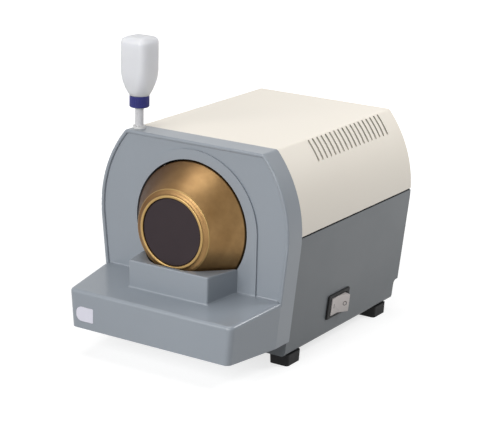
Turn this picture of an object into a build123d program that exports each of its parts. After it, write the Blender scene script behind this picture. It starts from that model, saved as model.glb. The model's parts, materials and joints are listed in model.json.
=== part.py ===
from build123d import *
import os
from math import asin, cos, degrees, radians, sin, sqrt, tan

"""Bench-top lens edger: a drip-fed diamond cone wheel on a motor shaft, in a fascia-and-tray moulding,
a lower body and a slotted cover.  Millimetres, +X to the right as seen from the front, +Y to the rear,
+Z up.  The origin is the centre of the base of the bounding box."""

# --- Driving dimensions: housing section, as seen from the front -----------------------------------
OVERALL_DEPTH = 358.0        # tray front to the rear edge of the body
OVERALL_WIDTH = 250.0        # at the widest height
SHOULDER_RUN = 34.3          # flat part of the roof inside the greatest width, each side
ROOF_RISE = 94.3             # roof above the wheel's axis
WAIST_RISE = 3.3             # greatest width above the wheel's axis
SIDE_TAPER = 6.0             # degrees, lower sides against the upright
ROOF_EDGE_RADIUS = 5.0
BODY_BOTTOM = 13.2           # underside of the lower body
BODY_CORNER_RADIUS = 5.0
BODY_INSET = 0.6             # body skin inside the line of the fascia's flange
SPLIT_DROP = 2.0             # joint between cover and lower body, below the waist
SPLIT_GAP = 2.0
WALL = 2.5                   # cover and lower body
LIP_LENGTH = 9.0
LIP_CLEARANCE = 0.3          # between a part and the wall that it slides into

# --- Driving dimensions: front housing -------------------------------------------------------------
TRAY_REACH = 80.0            # tray front to fascia front
FLANGE_DEPTH = 27.7          # fascia front to the joint with the body
APRON_SETBACK = 23.2         # fascia front to the lower body's front wall, below the flange
MOULD_WALL = 4.0
BEAD_WIDTH = 4.2             # raised rim round the fascia
BEAD_RADIUS = 1.7
FACE_RECESS = 2.4            # fascia face behind the rim's front
FACE_THICKNESS = 4.5
ARCH_MARGIN = 5.3            # between the rim and the raised panel round the opening
ARCH_RAISE = 1.8
TRAY_REAR_TOP = 84.2
TRAY_FRONT_TOP = 77.0
TRAY_REAR_BOTTOM = 30.7
TRAY_FRONT_BOTTOM = 33.6
TRAY_TAPER_TOP = 17.4        # tray's front inside the greatest width, each side
TRAY_TAPER_BOTTOM = 21.0
TRAY_CORNER_RADIUS = 7.0
TRAY_EDGE_RADIUS = 4.0
TRAY_RIB_COUNT = 4
TRAY_RIB_WIDTH = 2.5
TRAY_RIB_PITCH = 54.0
BLOCK_REACH = 44.4           # trough block in front of the fascia front
BLOCK_DROP = 38.7            # trough block's top below the wheel's axis
BLOCK_FRONT_HALF = 52.2
BLOCK_REAR_HALF = 61.5
BLOCK_EDGE_RADIUS = 1.6
ROOT_RADIUS = 2.0            # hollow fillet where block and fascia rise from the tray
LABEL_INSET = 21.7           # shallow recess for a rating label, from the left of the tray's front
LABEL_HEIGHT = 50.4
LABEL_WIDTH = 23.6
LABEL_TALL = 17.0
LABEL_END_RADIUS = 7.5
LABEL_RECESS = 0.5
DRAIN_RADIUS = 4.5
DRAIN_BORE_RADIUS = 3.0
DRAIN_LENGTH = 18.0
DRAIN_SETBACK = 7.5          # in front of the fascia front

# --- Driving dimensions: wheel ---------------------------------------------------------------------
AXIS_X = -1.2                # wheel's axis, left of the housing's middle
AXIS_HEIGHT = 150.2
WHEEL_GAP = 2.3              # wheel to opening and to trough
WHEEL_RADIUS = 71.0
WHEEL_RIM_WIDTH = 14.0       # straight band behind the cone
RIDGE_RADIUS = 47.6
RIDGE_REACH = 33.0           # ridge in front of the fascia front
LIP_RADIUS = 41.2
LIP_REACH = 37.0
DISC_RADIUS = 38.0           # recess in the wheel's front
DISC_RECESS = 1.4
BOND_THICKNESS = 6.0         # diamond layer on the core
SHAFT_RADIUS = 7.0
RUNNING_FIT = 0.05

# --- Driving dimensions: motor ---------------------------------------------------------------------
GUARD_DEPTH = 29.0           # fascia front to the splash guard's back wall
BULKHEAD_SETBACK = 36.0
PLATE = 3.0                  # base plate
SHEET = 2.0                  # bulkhead, rear panel
MOTOR_RADIUS = 54.0
MOTOR_WALL = 4.0
BELL_LENGTH = 16.0
MOTOR_LENGTH = 98.0
BEARING_RADIUS = 17.5
BEARING_WIDTH = 11.0
ROTOR_RADIUS = 30.0
AIR_GAP = 0.5
FAN_RADIUS = 44.0

# --- Driving dimensions: bottle --------------------------------------------------------------------
BOTTLE_INSET = 42.3          # bottle's middle inside the left of the greatest width
BOTTLE_SETBACK = 15.0        # behind the fascia front
STEM_RADIUS = 4.8
STEM_PLUG = 15.5             # stem inside the socket, below the roof
STEM_WALL = 1.6
SOCKET_FLOOR = 2.0
SOCKET_SUMP = 9.0            # socket below the stem
SPOUT_REACH = 8.0
WATER_BORE = 1.3
COLLAR_RADIUS = 7.2
CAP_RADIUS = 11.2
CAP_LIFT = 24.0              # cap's underside above the roof
CAP_HEIGHT = 13.0
CAP_FLOOR = 2.5
CAP_CHAMFER = 1.0
CAP_RIM = 1.5                # smooth rim above the grip grooves
NECK_RADIUS = 9.2
THREAD_CLEARANCE = 0.4
SEAL_THICKNESS = 1.5
CAP_RIBS = 36
CAP_GROOVE_RADIUS = 0.6
CAP_GROOVE_DEPTH = 0.35
BOTTLE_WALL = 1.3
BOTTLE_RISE = 103.0          # bottle's end above the roof
BOTTLE_END_RADIUS = 7.0
BOTTLE_SECTIONS = [          # (above the cap's rim, width across the flats, corner radius)
    (0.6, 21.2, 10.5),
    (4.5, 24.4, 12.1),
    (9.5, 27.8, 13.2),
    (14.5, 30.4, 12.9),
    (22.0, 32.6, 11.0),
    (30.5, 33.6, 9.6),
    (38.5, 34.0, 9.2),
]

# --- Driving dimensions: switch --------------------------------------------------------------------
SWITCH_SETBACK = 129.2       # bezel centre behind the fascia front
SWITCH_HEIGHT = 47.4
BEZEL_LENGTH = 46.5
BEZEL_TALL = 29.0
BEZEL_THICKNESS = 2.2
BEZEL_CORNER_RADIUS = 2.0
ROCKER_GAP = 0.35            # rocker to the frame's sides
SWITCH_BODY_LENGTH = 40.0
SWITCH_BODY_TALL = 24.6
SWITCH_BODY_DEPTH = 22.0
ROCKER_HALF_LENGTH = 14.5
ROCKER_TALL = 20.6
ROCKER_TILT = 13.0           # degrees each way
ROCKER_STAND_OUT = 3.0       # pressed half above the housing's skin
PIVOT_DEPTH = 6.0
PIVOT_RADIUS = 1.5

# --- Driving dimensions: slots, feet, rear ---------------------------------------------------------
SLOT_COUNT = 18
SLOT_FIRST = 89.9            # first slot behind the fascia front
SLOT_PITCH = 9.22
SLOT_WIDTH = 3.3
SLOT_DROP = 1.3              # slots' upper ends below the roof
SLOT_RISE = 22.0
FOOT_INSET = 26.4            # foot's middle inside the greatest width
FOOT_WIDTH = 25.0
FOOT_DEPTH = 28.5
FRONT_FOOT_SETBACK = 43.5
REAR_FOOT_MARGIN = 38.0      # in front of the body's rear edge
PANEL_SETBACK = 10.0         # rear panel inside the body's rear edge
NOTCH_DEPTH = 9.4
NOTCH_HEIGHT = 37.0
INLET_X = -62.0
INLET_HEIGHT = 52.0

# --- Fasteners and small sizes ---------------------------------------------------------------------
SCREW_RADIUS = 1.5
HEAD_RADIUS = 3.2
HEAD_HEIGHT = 2.0
BOSS_RADIUS = 5.0
TRAY_PLATE = 1.5
TRAY_PLATE_TOP = 36.0
TRAY_SCREW_LENGTH = 8.0
DRAIN_PLUG = 12.0            # nipple inside the drain's boss
DRAIN_FLANGE = 1.5
DRAIN_FLANGE_RADIUS = 6.8
DRAIN_BOSS_RADIUS = 7.0
DRAIN_TIP = 3.0              # tapered end of the nipple
GUARD_SCREW_MARGIN = 8.7     # outside the wheel's opening
GUARD_SCREW_DEPTH = 3.0
GUARD_BORE = 9.0
LIP_SCREW_SKIN = 1.2         # left outside the screw's tip
LOW_SCREW_HEIGHT = 60.0
SPLIT_SCREW_DROP = 26.5      # upper side screws below the joint
COVER_SCREW_RISE = 28.5      # cover's side screws above the joint
ROOF_SCREW_X = 55.0
RETURN_WIDTH = 9.0
NOTCH_RADIUS = 5.0
GASKET_SETBACK = 0.9
FOOT_SCREW_RADIUS = 2.5
FOOT_HEAD_RADIUS = 6.0
FOOT_HEAD_DEPTH = 6.0
NUT_HEIGHT = 4.0
BASE_SIDE_MARGIN = 4.2       # base plate to the body's inside
BASE_FRONT_MARGIN = 8.0
BULKHEAD_FOOT = 14.0
BULKHEAD_FOOT_INSET = 16.0   # shorter than the base plate at each side
BULKHEAD_SCREW_X = 60.0
BULKHEAD_BORE = 15.0
MOTOR_BOLT_CIRCLE = 38.0
BEARING_SEAT = 7.5
HUB_RADIUS = 20.0
CORE_RIM = 12.0              # core's rim, inside the diamond layer
CORE_WEB = 6.0               # back of the core's web, in front of the fascia front
CORE_WEB_RADIUS = 36.0
DISC_RIM = 3.5               # seat of the disc's edge on the core
DISC_WALL = 2.2
DISC_DEPTH = 5.0             # disc's seat behind the ridge
DISC_CHAMFER = 1.2
COLLAR_PLATE = 4.0           # drive flange behind the hub
COLLAR_LENGTH = 7.0
COLLAR_BOSS_RADIUS = 11.0
SEAL_WALL = 3.0
SEAL_LIP = 1.8
SEAL_RADIUS = 14.0
HUB_REACH = 18.0             # hub in front of the fascia front
HUB_BOSS = 4.0               # hub behind the rim's back
NUT_RADIUS = 12.0
NUT_LENGTH = 6.0
WASHER = 2.0
SHAFT_TIP = 9.0              # shaft in front of the hub
SHAFT_CHAMFER = 1.0
FAN_BLADES = 8
FAN_BLADE = 2.0
FAN_LENGTH = 16.0
FAN_GAP = 4.0                # fan to the rear bell
FAN_HUB_RADIUS = 12.0
FAN_DISC_RADIUS = 20.0
FAN_DISC = 2.0
SHAFT_END = 2.0              # shaft behind the fan
COWL_WALL = 1.5
COWL_GAP = 5.0               # fan to the cowl's back
COWL_OVERLAP = 2.0           # cowl's front edge behind the can's rear edge
BELL_WALL = 4.0
STACK_MARGIN = 16.0          # stator stack inside the can's ends
WINDING_LENGTH = 14.0
WINDING_GAP = 4.0
COWL_HOLES = 10
COWL_HOLE_CIRCLE = 32.0
COWL_HOLE_RADIUS = 7.0
CRADLE_FOOT = 45.0
CRADLE_TOP = 34.0
CRADLE_DEPTH = 26.0
CRADLE_HOLD = 12.0           # rises above the motor's lowest line
CRADLE_WALL = 6.0
CAPACITOR_INSET = 43.0
CAPACITOR_SETBACK = 130.0
CAPACITOR_RADIUS = 17.5
CAPACITOR_LENGTH = 60.0
CAPACITOR_EDGE_RADIUS = 2.0
CAPACITOR_LIFT = 3.0         # above the base plate
STUD_RADIUS = 6.0
STUD_LENGTH = 5.0
CLIP_WIDTH = 12.0
CLIP_SHEET = 1.5
CLIP_TAB = 8.0
TERMINAL_X = 62.0
TERMINAL_MARGIN = 63.0       # in front of the body's rear edge
TERMINAL_LENGTH = 52.0
TERMINAL_DEPTH = 18.0
TERMINAL_TALL = 16.0
TERMINAL_POLES = 4
TERMINAL_PITCH = 12.0
TERMINAL_BORE = 2.2
INLET_WIDTH = 27.0
INLET_TALL = 19.6
INLET_DEPTH = 17.0
INLET_FLANGE = 2.5
INLET_FLANGE_WIDTH = 50.0
INLET_FLANGE_TALL = 22.5
INLET_SOCKET_WIDTH = 24.2
INLET_SOCKET_TALL = 16.4
INLET_SOCKET_DEPTH = 16.5
INLET_PIN = (2.0, 4.0)
INLET_PIN_LENGTH = 10.0
INLET_PIN_ROOT = 2.0
INLET_PIN_SPACING = 7.0
INLET_SCREW_SPACING = 40.0
INLET_CORNER_RADIUS = 3.0
INLET_CHAMFER = 5.0
INLET_PIN_STAGGER = 2.0      # outer pins below the middle height, the middle pin above it
INLET_HEAD_RADIUS = 2.4
INLET_HEAD_HEIGHT = 1.6
GRILLE_X = 48.0
GRILLE_PITCH = 8.0
GRILLE_COUNT = 10
GRILLE_LENGTH = 56.0
COLLAR_HEIGHT = 2.8
NOZZLE_RADIUS = 2.5
NOZZLE_GAP = 1.0             # tip to the wheel
HOSE_RADIUS = 4.0
HOSE_GRIP = 5.0              # hose over its spout
HOSE_BEND = 6.5
NOZZLE_RISE = 8.0            # above the splash guard's skin
NOZZLE_DROP = 15.3           # splash guard's skin under the nozzle, below the spout
TRAY_SCREW_INSET = 15.6      # inside the top corners of the tray's front
TRAY_SCREW_FRONT = 14.0      # behind the tray's front
TRAY_SCREW_REAR = 12.0       # in front of the fascia front

# --- Derived places --------------------------------------------------------------------------------
HALF_WIDTH = OVERALL_WIDTH / 2
TRAY_FRONT_HALF_TOP = HALF_WIDTH - TRAY_TAPER_TOP
TRAY_FRONT_HALF_BOTTOM = HALF_WIDTH - TRAY_TAPER_BOTTOM
BOTTLE_X = BOTTLE_INSET - HALF_WIDTH
FOOT_X = HALF_WIDTH - FOOT_INSET
CAPACITOR_X = CAPACITOR_INSET - HALF_WIDTH
ROOF_HEIGHT = AXIS_HEIGHT + ROOF_RISE
WAIST_HEIGHT = AXIS_HEIGHT + WAIST_RISE
ARCH_RADIUS = ROOF_RISE - BEAD_WIDTH - ARCH_MARGIN
SPLIT_HEIGHT = WAIST_HEIGHT - SPLIT_DROP
SIDE_SCREW_HEIGHTS = (LOW_SCREW_HEIGHT, SPLIT_HEIGHT - SPLIT_SCREW_DROP)
COVER_SCREW_HEIGHT = SPLIT_HEIGHT + COVER_SCREW_RISE
BLOCK_TOP = AXIS_HEIGHT - BLOCK_DROP
SLOT_HIGH = ROOF_HEIGHT - SLOT_DROP
SLOT_LOW = SLOT_HIGH - SLOT_RISE
CAP_BOTTOM = ROOF_HEIGHT + CAP_LIFT
BOTTLE_TOP = ROOF_HEIGHT + BOTTLE_RISE
ARC_RISE = ROOF_HEIGHT - WAIST_HEIGHT
ARC_RADIUS = (SHOULDER_RUN**2 + ARC_RISE**2) / (2 * SHOULDER_RUN)
ARC_CENTRE_X = HALF_WIDTH - ARC_RADIUS
BODY_REAR = OVERALL_DEPTH / 2
TRAY_FRONT = -OVERALL_DEPTH / 2
FASCIA = TRAY_FRONT + TRAY_REACH
SEAM = FASCIA + FLANGE_DEPTH
FACE_FRONT = FASCIA + FACE_RECESS
FACE_BACK = FACE_FRONT + FACE_THICKNESS
OPENING_RADIUS = WHEEL_RADIUS + WHEEL_GAP
GUARD_FLANGE_RADIUS = ROOF_RISE - MOULD_WALL - LIP_CLEARANCE
GUARD_SCREW_CIRCLE = OPENING_RADIUS + GUARD_SCREW_MARGIN
SHELL_FLOOR = BODY_BOTTOM + WALL
BASE_TOP = SHELL_FLOOR + PLATE
SKIN = BODY_INSET + WALL                      # inside of the body's walls
LIP_OUT = MOULD_WALL + LIP_CLEARANCE
LIP_IN = LIP_OUT + WALL
LEDGE = TRAY_REAR_BOTTOM - LIP_CLEARANCE      # top of the lower body under the flange
PANEL_REAR = BODY_REAR - PANEL_SETBACK
PANEL_FRONT = PANEL_REAR - SHEET
BULKHEAD = FASCIA + BULKHEAD_SETBACK
MOTOR_FRONT = BULKHEAD + SHEET
CAN_FRONT = MOTOR_FRONT + BELL_LENGTH
CAN_REAR = CAN_FRONT + MOTOR_LENGTH
MOTOR_REAR = CAN_REAR + BELL_LENGTH
AXLE = Axis((AXIS_X, 0, AXIS_HEIGHT), (0, 1, 0))
AXLE_PLANE = Plane(origin=(AXIS_X, 0, AXIS_HEIGHT), x_dir=(0, 1, 0), z_dir=(1, 0, 0))
SIDE_PLANE = Plane(origin=(0, 0, 0), x_dir=(0, 1, 0), z_dir=(1, 0, 0))


def side_x(z):
    """Half width of the housing's outline at height z."""
    if z > WAIST_HEIGHT - ARC_RADIUS * sin(radians(SIDE_TAPER)):
        return ARC_CENTRE_X + sqrt(ARC_RADIUS**2 - (z - WAIST_HEIGHT) ** 2)
    join_z = WAIST_HEIGHT - ARC_RADIUS * sin(radians(SIDE_TAPER))
    join_x = ARC_CENTRE_X + ARC_RADIUS * cos(radians(SIDE_TAPER))
    return join_x - (join_z - z) * tan(radians(SIDE_TAPER))


BIG = 2 * OVERALL_DEPTH                       # longer than anything, for cuts right through
BASE_HALF_WIDTH = side_x(SHELL_FLOOR) - SKIN - BASE_SIDE_MARGIN
TRAY_RIB_PLACES = [(index - (TRAY_RIB_COUNT - 1) / 2) * TRAY_RIB_PITCH for index in range(TRAY_RIB_COUNT)]
TRAY_SCREW_X = TRAY_FRONT_HALF_TOP - TRAY_SCREW_INSET
TRAY_SCREW_PLACES = [(x, TRAY_FRONT + TRAY_SCREW_FRONT) for x in (-TRAY_SCREW_X, 0, TRAY_SCREW_X)]
TRAY_SCREW_PLACES += [(x, FASCIA - TRAY_SCREW_REAR) for x in (-TRAY_SCREW_X, TRAY_SCREW_X)]
DRAIN_Y = FASCIA - DRAIN_SETBACK
WHEEL_BACK = FASCIA + WHEEL_RIM_WIDTH
HUB_FRONT = FASCIA - HUB_REACH
HUB_BACK = WHEEL_BACK + HUB_BOSS
COLLAR_BACK = HUB_BACK + COLLAR_LENGTH
DISC_FRONT = FASCIA - LIP_REACH + DISC_RECESS
DISC_SEAT = FASCIA - RIDGE_REACH + DISC_DEPTH
WHEEL_OUTLINE = [
    (DISC_SEAT, DISC_RADIUS),
    (DISC_FRONT, DISC_RADIUS),
    (FASCIA - LIP_REACH, DISC_RADIUS + 0.8),
    (FASCIA - LIP_REACH, LIP_RADIUS - 0.6),
    (FASCIA - LIP_REACH + 0.6, LIP_RADIUS),
    (FASCIA - RIDGE_REACH - 2.4, RIDGE_RADIUS - 4.6),
    (FASCIA - RIDGE_REACH - 1.4, RIDGE_RADIUS - 3.0),
    (FASCIA - RIDGE_REACH - 0.6, RIDGE_RADIUS - 0.6),
    (FASCIA - RIDGE_REACH, RIDGE_RADIUS),
    (FASCIA - RIDGE_REACH + 0.8, RIDGE_RADIUS - 0.2),
    (FASCIA - RIDGE_REACH + 1.6, RIDGE_RADIUS + 0.9),
    (FASCIA - 0.8, WHEEL_RADIUS - 0.6),
    (FASCIA + 0.4, WHEEL_RADIUS),
    (WHEEL_BACK, WHEEL_RADIUS),
]
BOND_LINE = [                                 # joint between diamond layer and core
    (WHEEL_BACK, WHEEL_RADIUS - BOND_THICKNESS),
    (FASCIA + 2, WHEEL_RADIUS - BOND_THICKNESS),
    (DISC_SEAT, RIDGE_RADIUS - BOND_THICKNESS),
]
WHEEL_ROOM = [                                # the wheel's form and the gap round it
    (FASCIA - LIP_REACH - WHEEL_GAP, 0),
    (FASCIA - LIP_REACH - WHEEL_GAP, LIP_RADIUS + WHEEL_GAP),
    (FASCIA - RIDGE_REACH, RIDGE_RADIUS + WHEEL_GAP),
    (FASCIA, OPENING_RADIUS),
    (FACE_BACK + 1, OPENING_RADIUS),
    (FACE_BACK + 1, 0),
]
GUARD_SCREW_PLACES = [
    (
        AXIS_X + GUARD_SCREW_CIRCLE * cos(radians(angle)),
        FACE_BACK,
        AXIS_HEIGHT + GUARD_SCREW_CIRCLE * sin(radians(angle)),
    )
    for angle in (30, 80, 150, 210, 330)
]
TAPER = radians(SIDE_TAPER)
LIP_SCREW_PLACES = [                          # on the lip's inner face, square to the tapered side
    Location(
        (side * (side_x(z) - LIP_IN / cos(TAPER)), SEAM - LIP_LENGTH / 2, z),
        (0, side * (90 + SIDE_TAPER), 0),
    )
    for side in (1, -1)
    for z in SIDE_SCREW_HEIGHTS
]
BOTTLE_Y = FASCIA + BOTTLE_SETBACK
SOCKET_RADIUS = STEM_RADIUS + STEM_WALL
STEM_BOTTOM = ROOF_HEIGHT - STEM_PLUG
SOCKET_BOTTOM = STEM_BOTTOM - SOCKET_SUMP
SPOUT_Z = SOCKET_BOTTOM + SOCKET_SUMP / 2
SPOUT_END = BOTTLE_X + SOCKET_RADIUS + SPOUT_REACH
NECK_BOTTOM = CAP_BOTTOM + CAP_FLOOR + SEAL_THICKNESS
CAP_TOP = CAP_BOTTOM + CAP_HEIGHT
GUARD_TOP_AT_NOZZLE = SPOUT_Z - NOZZLE_DROP
NOZZLE_X = AXIS_X - sqrt((OPENING_RADIUS + WALL) ** 2 - (GUARD_TOP_AT_NOZZLE - AXIS_HEIGHT) ** 2)
NOZZLE_NEAR = NOZZLE_X + NOZZLE_RADIUS - AXIS_X          # side of the nozzle nearer to the axis
NOZZLE_BOTTOM = AXIS_HEIGHT + max(
    sqrt(OPENING_RADIUS**2 - NOZZLE_NEAR**2) - NOZZLE_GAP, sqrt(WHEEL_RADIUS**2 - NOZZLE_NEAR**2) + NOZZLE_GAP
)
NOZZLE_TOP = GUARD_TOP_AT_NOZZLE + NOZZLE_RISE
SLOT_MIDDLE_Y = FASCIA + SLOT_FIRST + SLOT_PITCH * (SLOT_COUNT - 1) / 2
FOOT_ROWS = (FASCIA + FRONT_FOOT_SETBACK, BODY_REAR - REAR_FOOT_MARGIN)
FOOT_PLACES = [(side * FOOT_X, y) for side in (1, -1) for y in FOOT_ROWS]
LOWER_PANEL_SCREWS = [
    (side * (side_x(z) - SKIN - RETURN_WIDTH / 2), z) for side in (1, -1) for z in SIDE_SCREW_HEIGHTS
]
UPPER_PANEL_SCREWS = [
    (side * (side_x(COVER_SCREW_HEIGHT) - SKIN - RETURN_WIDTH / 2), COVER_SCREW_HEIGHT) for side in (1, -1)
]
UPPER_PANEL_SCREWS += [(side * ROOF_SCREW_X, ROOF_HEIGHT - SKIN - RETURN_WIDTH / 2) for side in (1, -1)]
FAN_FRONT = MOTOR_REAR + FAN_GAP
FAN_REAR = FAN_FRONT + FAN_LENGTH
STACK_FRONT = CAN_FRONT + STACK_MARGIN
STACK_REAR = CAN_REAR - STACK_MARGIN
CRADLE_Y = (CAN_FRONT + CAN_REAR) / 2
CHASSIS_SCREW_PLACES = [(side * BULKHEAD_SCREW_X, MOTOR_FRONT + BULKHEAD_FOOT / 2) for side in (1, -1)]
CHASSIS_SCREW_PLACES += [(AXIS_X + side * (CRADLE_FOOT + CRADLE_TOP) / 2, CRADLE_Y) for side in (1, -1)]
CAPACITOR_Y = FASCIA + CAPACITOR_SETBACK
CAPACITOR_Z = BASE_TOP + CAPACITOR_LIFT + CAPACITOR_RADIUS
TERMINAL_Y = BODY_REAR - TERMINAL_MARGIN
INLET_SCREW_PLACES = [(INLET_X + side * INLET_SCREW_SPACING / 2, INLET_HEIGHT) for side in (1, -1)]
INLET_PIN_PLACES = [
    (INLET_X - INLET_PIN_SPACING, INLET_HEIGHT - INLET_PIN_STAGGER),
    (INLET_X, INLET_HEIGHT + INLET_PIN_STAGGER),
    (INLET_X + INLET_PIN_SPACING, INLET_HEIGHT - INLET_PIN_STAGGER),
]

# switch: its plane lies on the tapered side, x to the rear, y up along the side, z outward
SWITCH_PLANE = Plane(
    origin=(side_x(SWITCH_HEIGHT) - BODY_INSET, FASCIA + SWITCH_SETBACK, SWITCH_HEIGHT),
    x_dir=(0, 1, 0),
    z_dir=(cos(TAPER), 0, -sin(TAPER)),
)
SWITCH_PIVOT_PLANE = Plane(
    origin=SWITCH_PLANE.from_local_coords((0, 0, -PIVOT_DEPTH)),
    x_dir=(0, 1, 0),
    z_dir=(sin(TAPER), 0, cos(TAPER)),
)
ROCKER_MIDDLE = (ROCKER_STAND_OUT + PIVOT_DEPTH) / cos(radians(ROCKER_TILT))
ROCKER_END = ROCKER_MIDDLE + ROCKER_HALF_LENGTH * tan(radians(ROCKER_TILT))
ROCKER_REACH = ROCKER_HALF_LENGTH * cos(radians(ROCKER_TILT)) + ROCKER_END * sin(radians(ROCKER_TILT))
ROCKER_PROFILE = [                            # (rearward, outward) from the pivot, rocker level
    (-ROCKER_HALF_LENGTH, ROCKER_END),
    (0, ROCKER_MIDDLE),
    (ROCKER_HALF_LENGTH, ROCKER_END),
    (ROCKER_HALF_LENGTH, 3),
    (6, -4),
    (-6, -4),
    (-ROCKER_HALF_LENGTH, 3),
]
PIVOT_LENGTH = SWITCH_BODY_TALL


def rocked(along, outward):
    """Point of the rocker's profile with its front half pressed in, as drawn on the pivot plane."""
    tilt = radians(ROCKER_TILT)
    rearward = along * cos(tilt) - outward * sin(tilt)
    out = along * sin(tilt) + outward * cos(tilt)
    return (rearward, -out)


ON_BASE = (Align.CENTER, Align.CENTER, Align.MIN)
UNDER_TOP = (Align.CENTER, Align.CENTER, Align.MAX)

os.makedirs("parts", exist_ok=True)


def save(builder, label):
    """Labels one finished piece and writes its STEP file."""
    builder.part.label = label
    export_step(builder.part, f"parts/{label}.step")


def front_plane(y):
    """Upright plane at y, drawn as seen from the front: extrude by minus an amount to go rearward."""
    return Plane(origin=(0, y, 0), x_dir=(1, 0, 0), z_dir=(0, -1, 0))


def section(inset, low, high=BIG, corner=0.0):
    """Housing section, `inset` inside the outline, from height low to high."""
    radius = ARC_RADIUS - inset
    roof = ROOF_HEIGHT - inset
    sweep = degrees(asin((roof - WAIST_HEIGHT) / radius))
    join_x = ARC_CENTRE_X + radius * cos(radians(SIDE_TAPER))
    join_z = WAIST_HEIGHT - radius * sin(radians(SIDE_TAPER))
    base = min(low, WAIST_HEIGHT / 2)
    base_x = join_x - (join_z - base) * tan(radians(SIDE_TAPER))
    with BuildSketch() as half:
        with BuildLine():
            arc = CenterArc((ARC_CENTRE_X, WAIST_HEIGHT), radius, -SIDE_TAPER, SIDE_TAPER + sweep)
            Polyline(arc @ 0, (base_x, base), (0, base), (0, roof), arc @ 1)
        make_face()
        roof_corner = half.vertices().group_by(Axis.Y)[-1].sort_by(Axis.X)[-1]
        fillet(roof_corner, max(ROOF_EDGE_RADIUS - inset, 1.0))
        if corner > 0:
            fillet(half.vertices().group_by(Axis.Y)[0].sort_by(Axis.X)[-1], corner)
        if low > base:
            with Locations((0, low)):
                Rectangle(BIG, BIG, align=(Align.CENTER, Align.MAX), mode=Mode.SUBTRACT)
        if high < roof:
            with Locations((0, high)):
                Rectangle(BIG, BIG, align=(Align.CENTER, Align.MIN), mode=Mode.SUBTRACT)
        mirror(about=Plane.YZ)
    return half.sketch


def turned(points):
    """Solid of revolution about the wheel's axle from (y, radius) points."""
    with BuildPart() as piece:
        with BuildSketch(AXLE_PLANE):
            with BuildLine():
                Polyline(*points, close=True)
            make_face()
        revolve(axis=AXLE)
    return piece.part


def tray_section(half_top, top, half_bottom, bottom):
    """Four-sided cross-section of the tray."""
    with BuildSketch() as outline:
        with BuildLine():
            Polyline(
                (half_top, top),
                (half_bottom, bottom),
                (-half_bottom, bottom),
                (-half_top, top),
                close=True,
            )
        make_face()
    return outline.sketch


# --- Front housing: fascia, tray and trough block in one moulding ----------------------------------
with BuildPart() as tray:
    with BuildSketch(front_plane(FASCIA)):
        add(tray_section(side_x(TRAY_REAR_TOP), TRAY_REAR_TOP, side_x(TRAY_REAR_BOTTOM), TRAY_REAR_BOTTOM))
    with BuildSketch(front_plane(TRAY_FRONT)):
        add(tray_section(TRAY_FRONT_HALF_TOP, TRAY_FRONT_TOP, TRAY_FRONT_HALF_BOTTOM, TRAY_FRONT_BOTTOM))
    loft(ruled=True)
    front_face = tray.faces().sort_by(Axis.Y)[0]
    uprights = front_face.edges().filter_by(lambda e: abs(e.tangent_at(0.5).Z) > 0.5)
    fillet(uprights, TRAY_CORNER_RADIUS)
    top_face = tray.faces().filter_by(lambda f: f.normal_at().Z > 0.9).sort_by(Axis.Z)[-1]
    top_edges = top_face.edges().filter_by(lambda e: e.center().Y < FASCIA - 1)
    fillet(top_edges, TRAY_EDGE_RADIUS)

def block_outline(margin):
    """Plan of the trough block, `margin` outside its walls."""
    with BuildSketch() as outline:
        with BuildLine():
            Polyline(
                (-BLOCK_REAR_HALF - margin, FASCIA + FACE_RECESS),
                (-BLOCK_FRONT_HALF - margin, FASCIA - BLOCK_REACH - margin),
                (BLOCK_FRONT_HALF + margin, FASCIA - BLOCK_REACH - margin),
                (BLOCK_REAR_HALF + margin, FASCIA + FACE_RECESS),
                close=True,
            )
        make_face()
        fillet(outline.vertices().group_by(Axis.Y)[0], BLOCK_EDGE_RADIUS * 1.5 + margin)
    return outline.sketch


with BuildPart() as block:
    # stands on a slab in the plane of the tray's top, for the hollow fillet at its root
    with BuildSketch(Plane.YZ.offset(-ARCH_RADIUS)):
        with BuildLine():
            Polyline(
                (TRAY_FRONT, TRAY_FRONT_TOP),
                (FASCIA, TRAY_REAR_TOP),
                (FASCIA + TRAY_REACH, 2 * TRAY_REAR_TOP - TRAY_FRONT_TOP),
                (FASCIA + TRAY_REACH, TRAY_FRONT_TOP - MOULD_WALL / 2),
                (TRAY_FRONT, TRAY_FRONT_TOP - MOULD_WALL / 2),
                close=True,
            )
        make_face()
    extrude(amount=2 * ARCH_RADIUS)
    with BuildSketch(Plane.XY.offset(TRAY_FRONT_TOP - MOULD_WALL / 2)):
        add(block_outline(0))
    extrude(amount=BLOCK_TOP - TRAY_FRONT_TOP + MOULD_WALL / 2)
    block_rim = block.faces().sort_by(Axis.Z)[-1].edges().filter_by(lambda e: e.center().Y < FASCIA + 1)
    fillet(block_rim, BLOCK_EDGE_RADIUS)
    block_root = block.edges().filter_by(
        lambda e: TRAY_FRONT_TOP < e.center().Z < TRAY_REAR_TOP + 1
        and abs(e.center().X) < BLOCK_REAR_HALF
        and FASCIA - BLOCK_REACH - 1 < e.center().Y < FASCIA + FACE_RECESS - 1
    )
    fillet(block_root, ROOT_RADIUS)
    with BuildSketch(Plane.XY):
        add(block_outline(2 * ROOT_RADIUS))
    extrude(amount=BIG, mode=Mode.INTERSECT)

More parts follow.
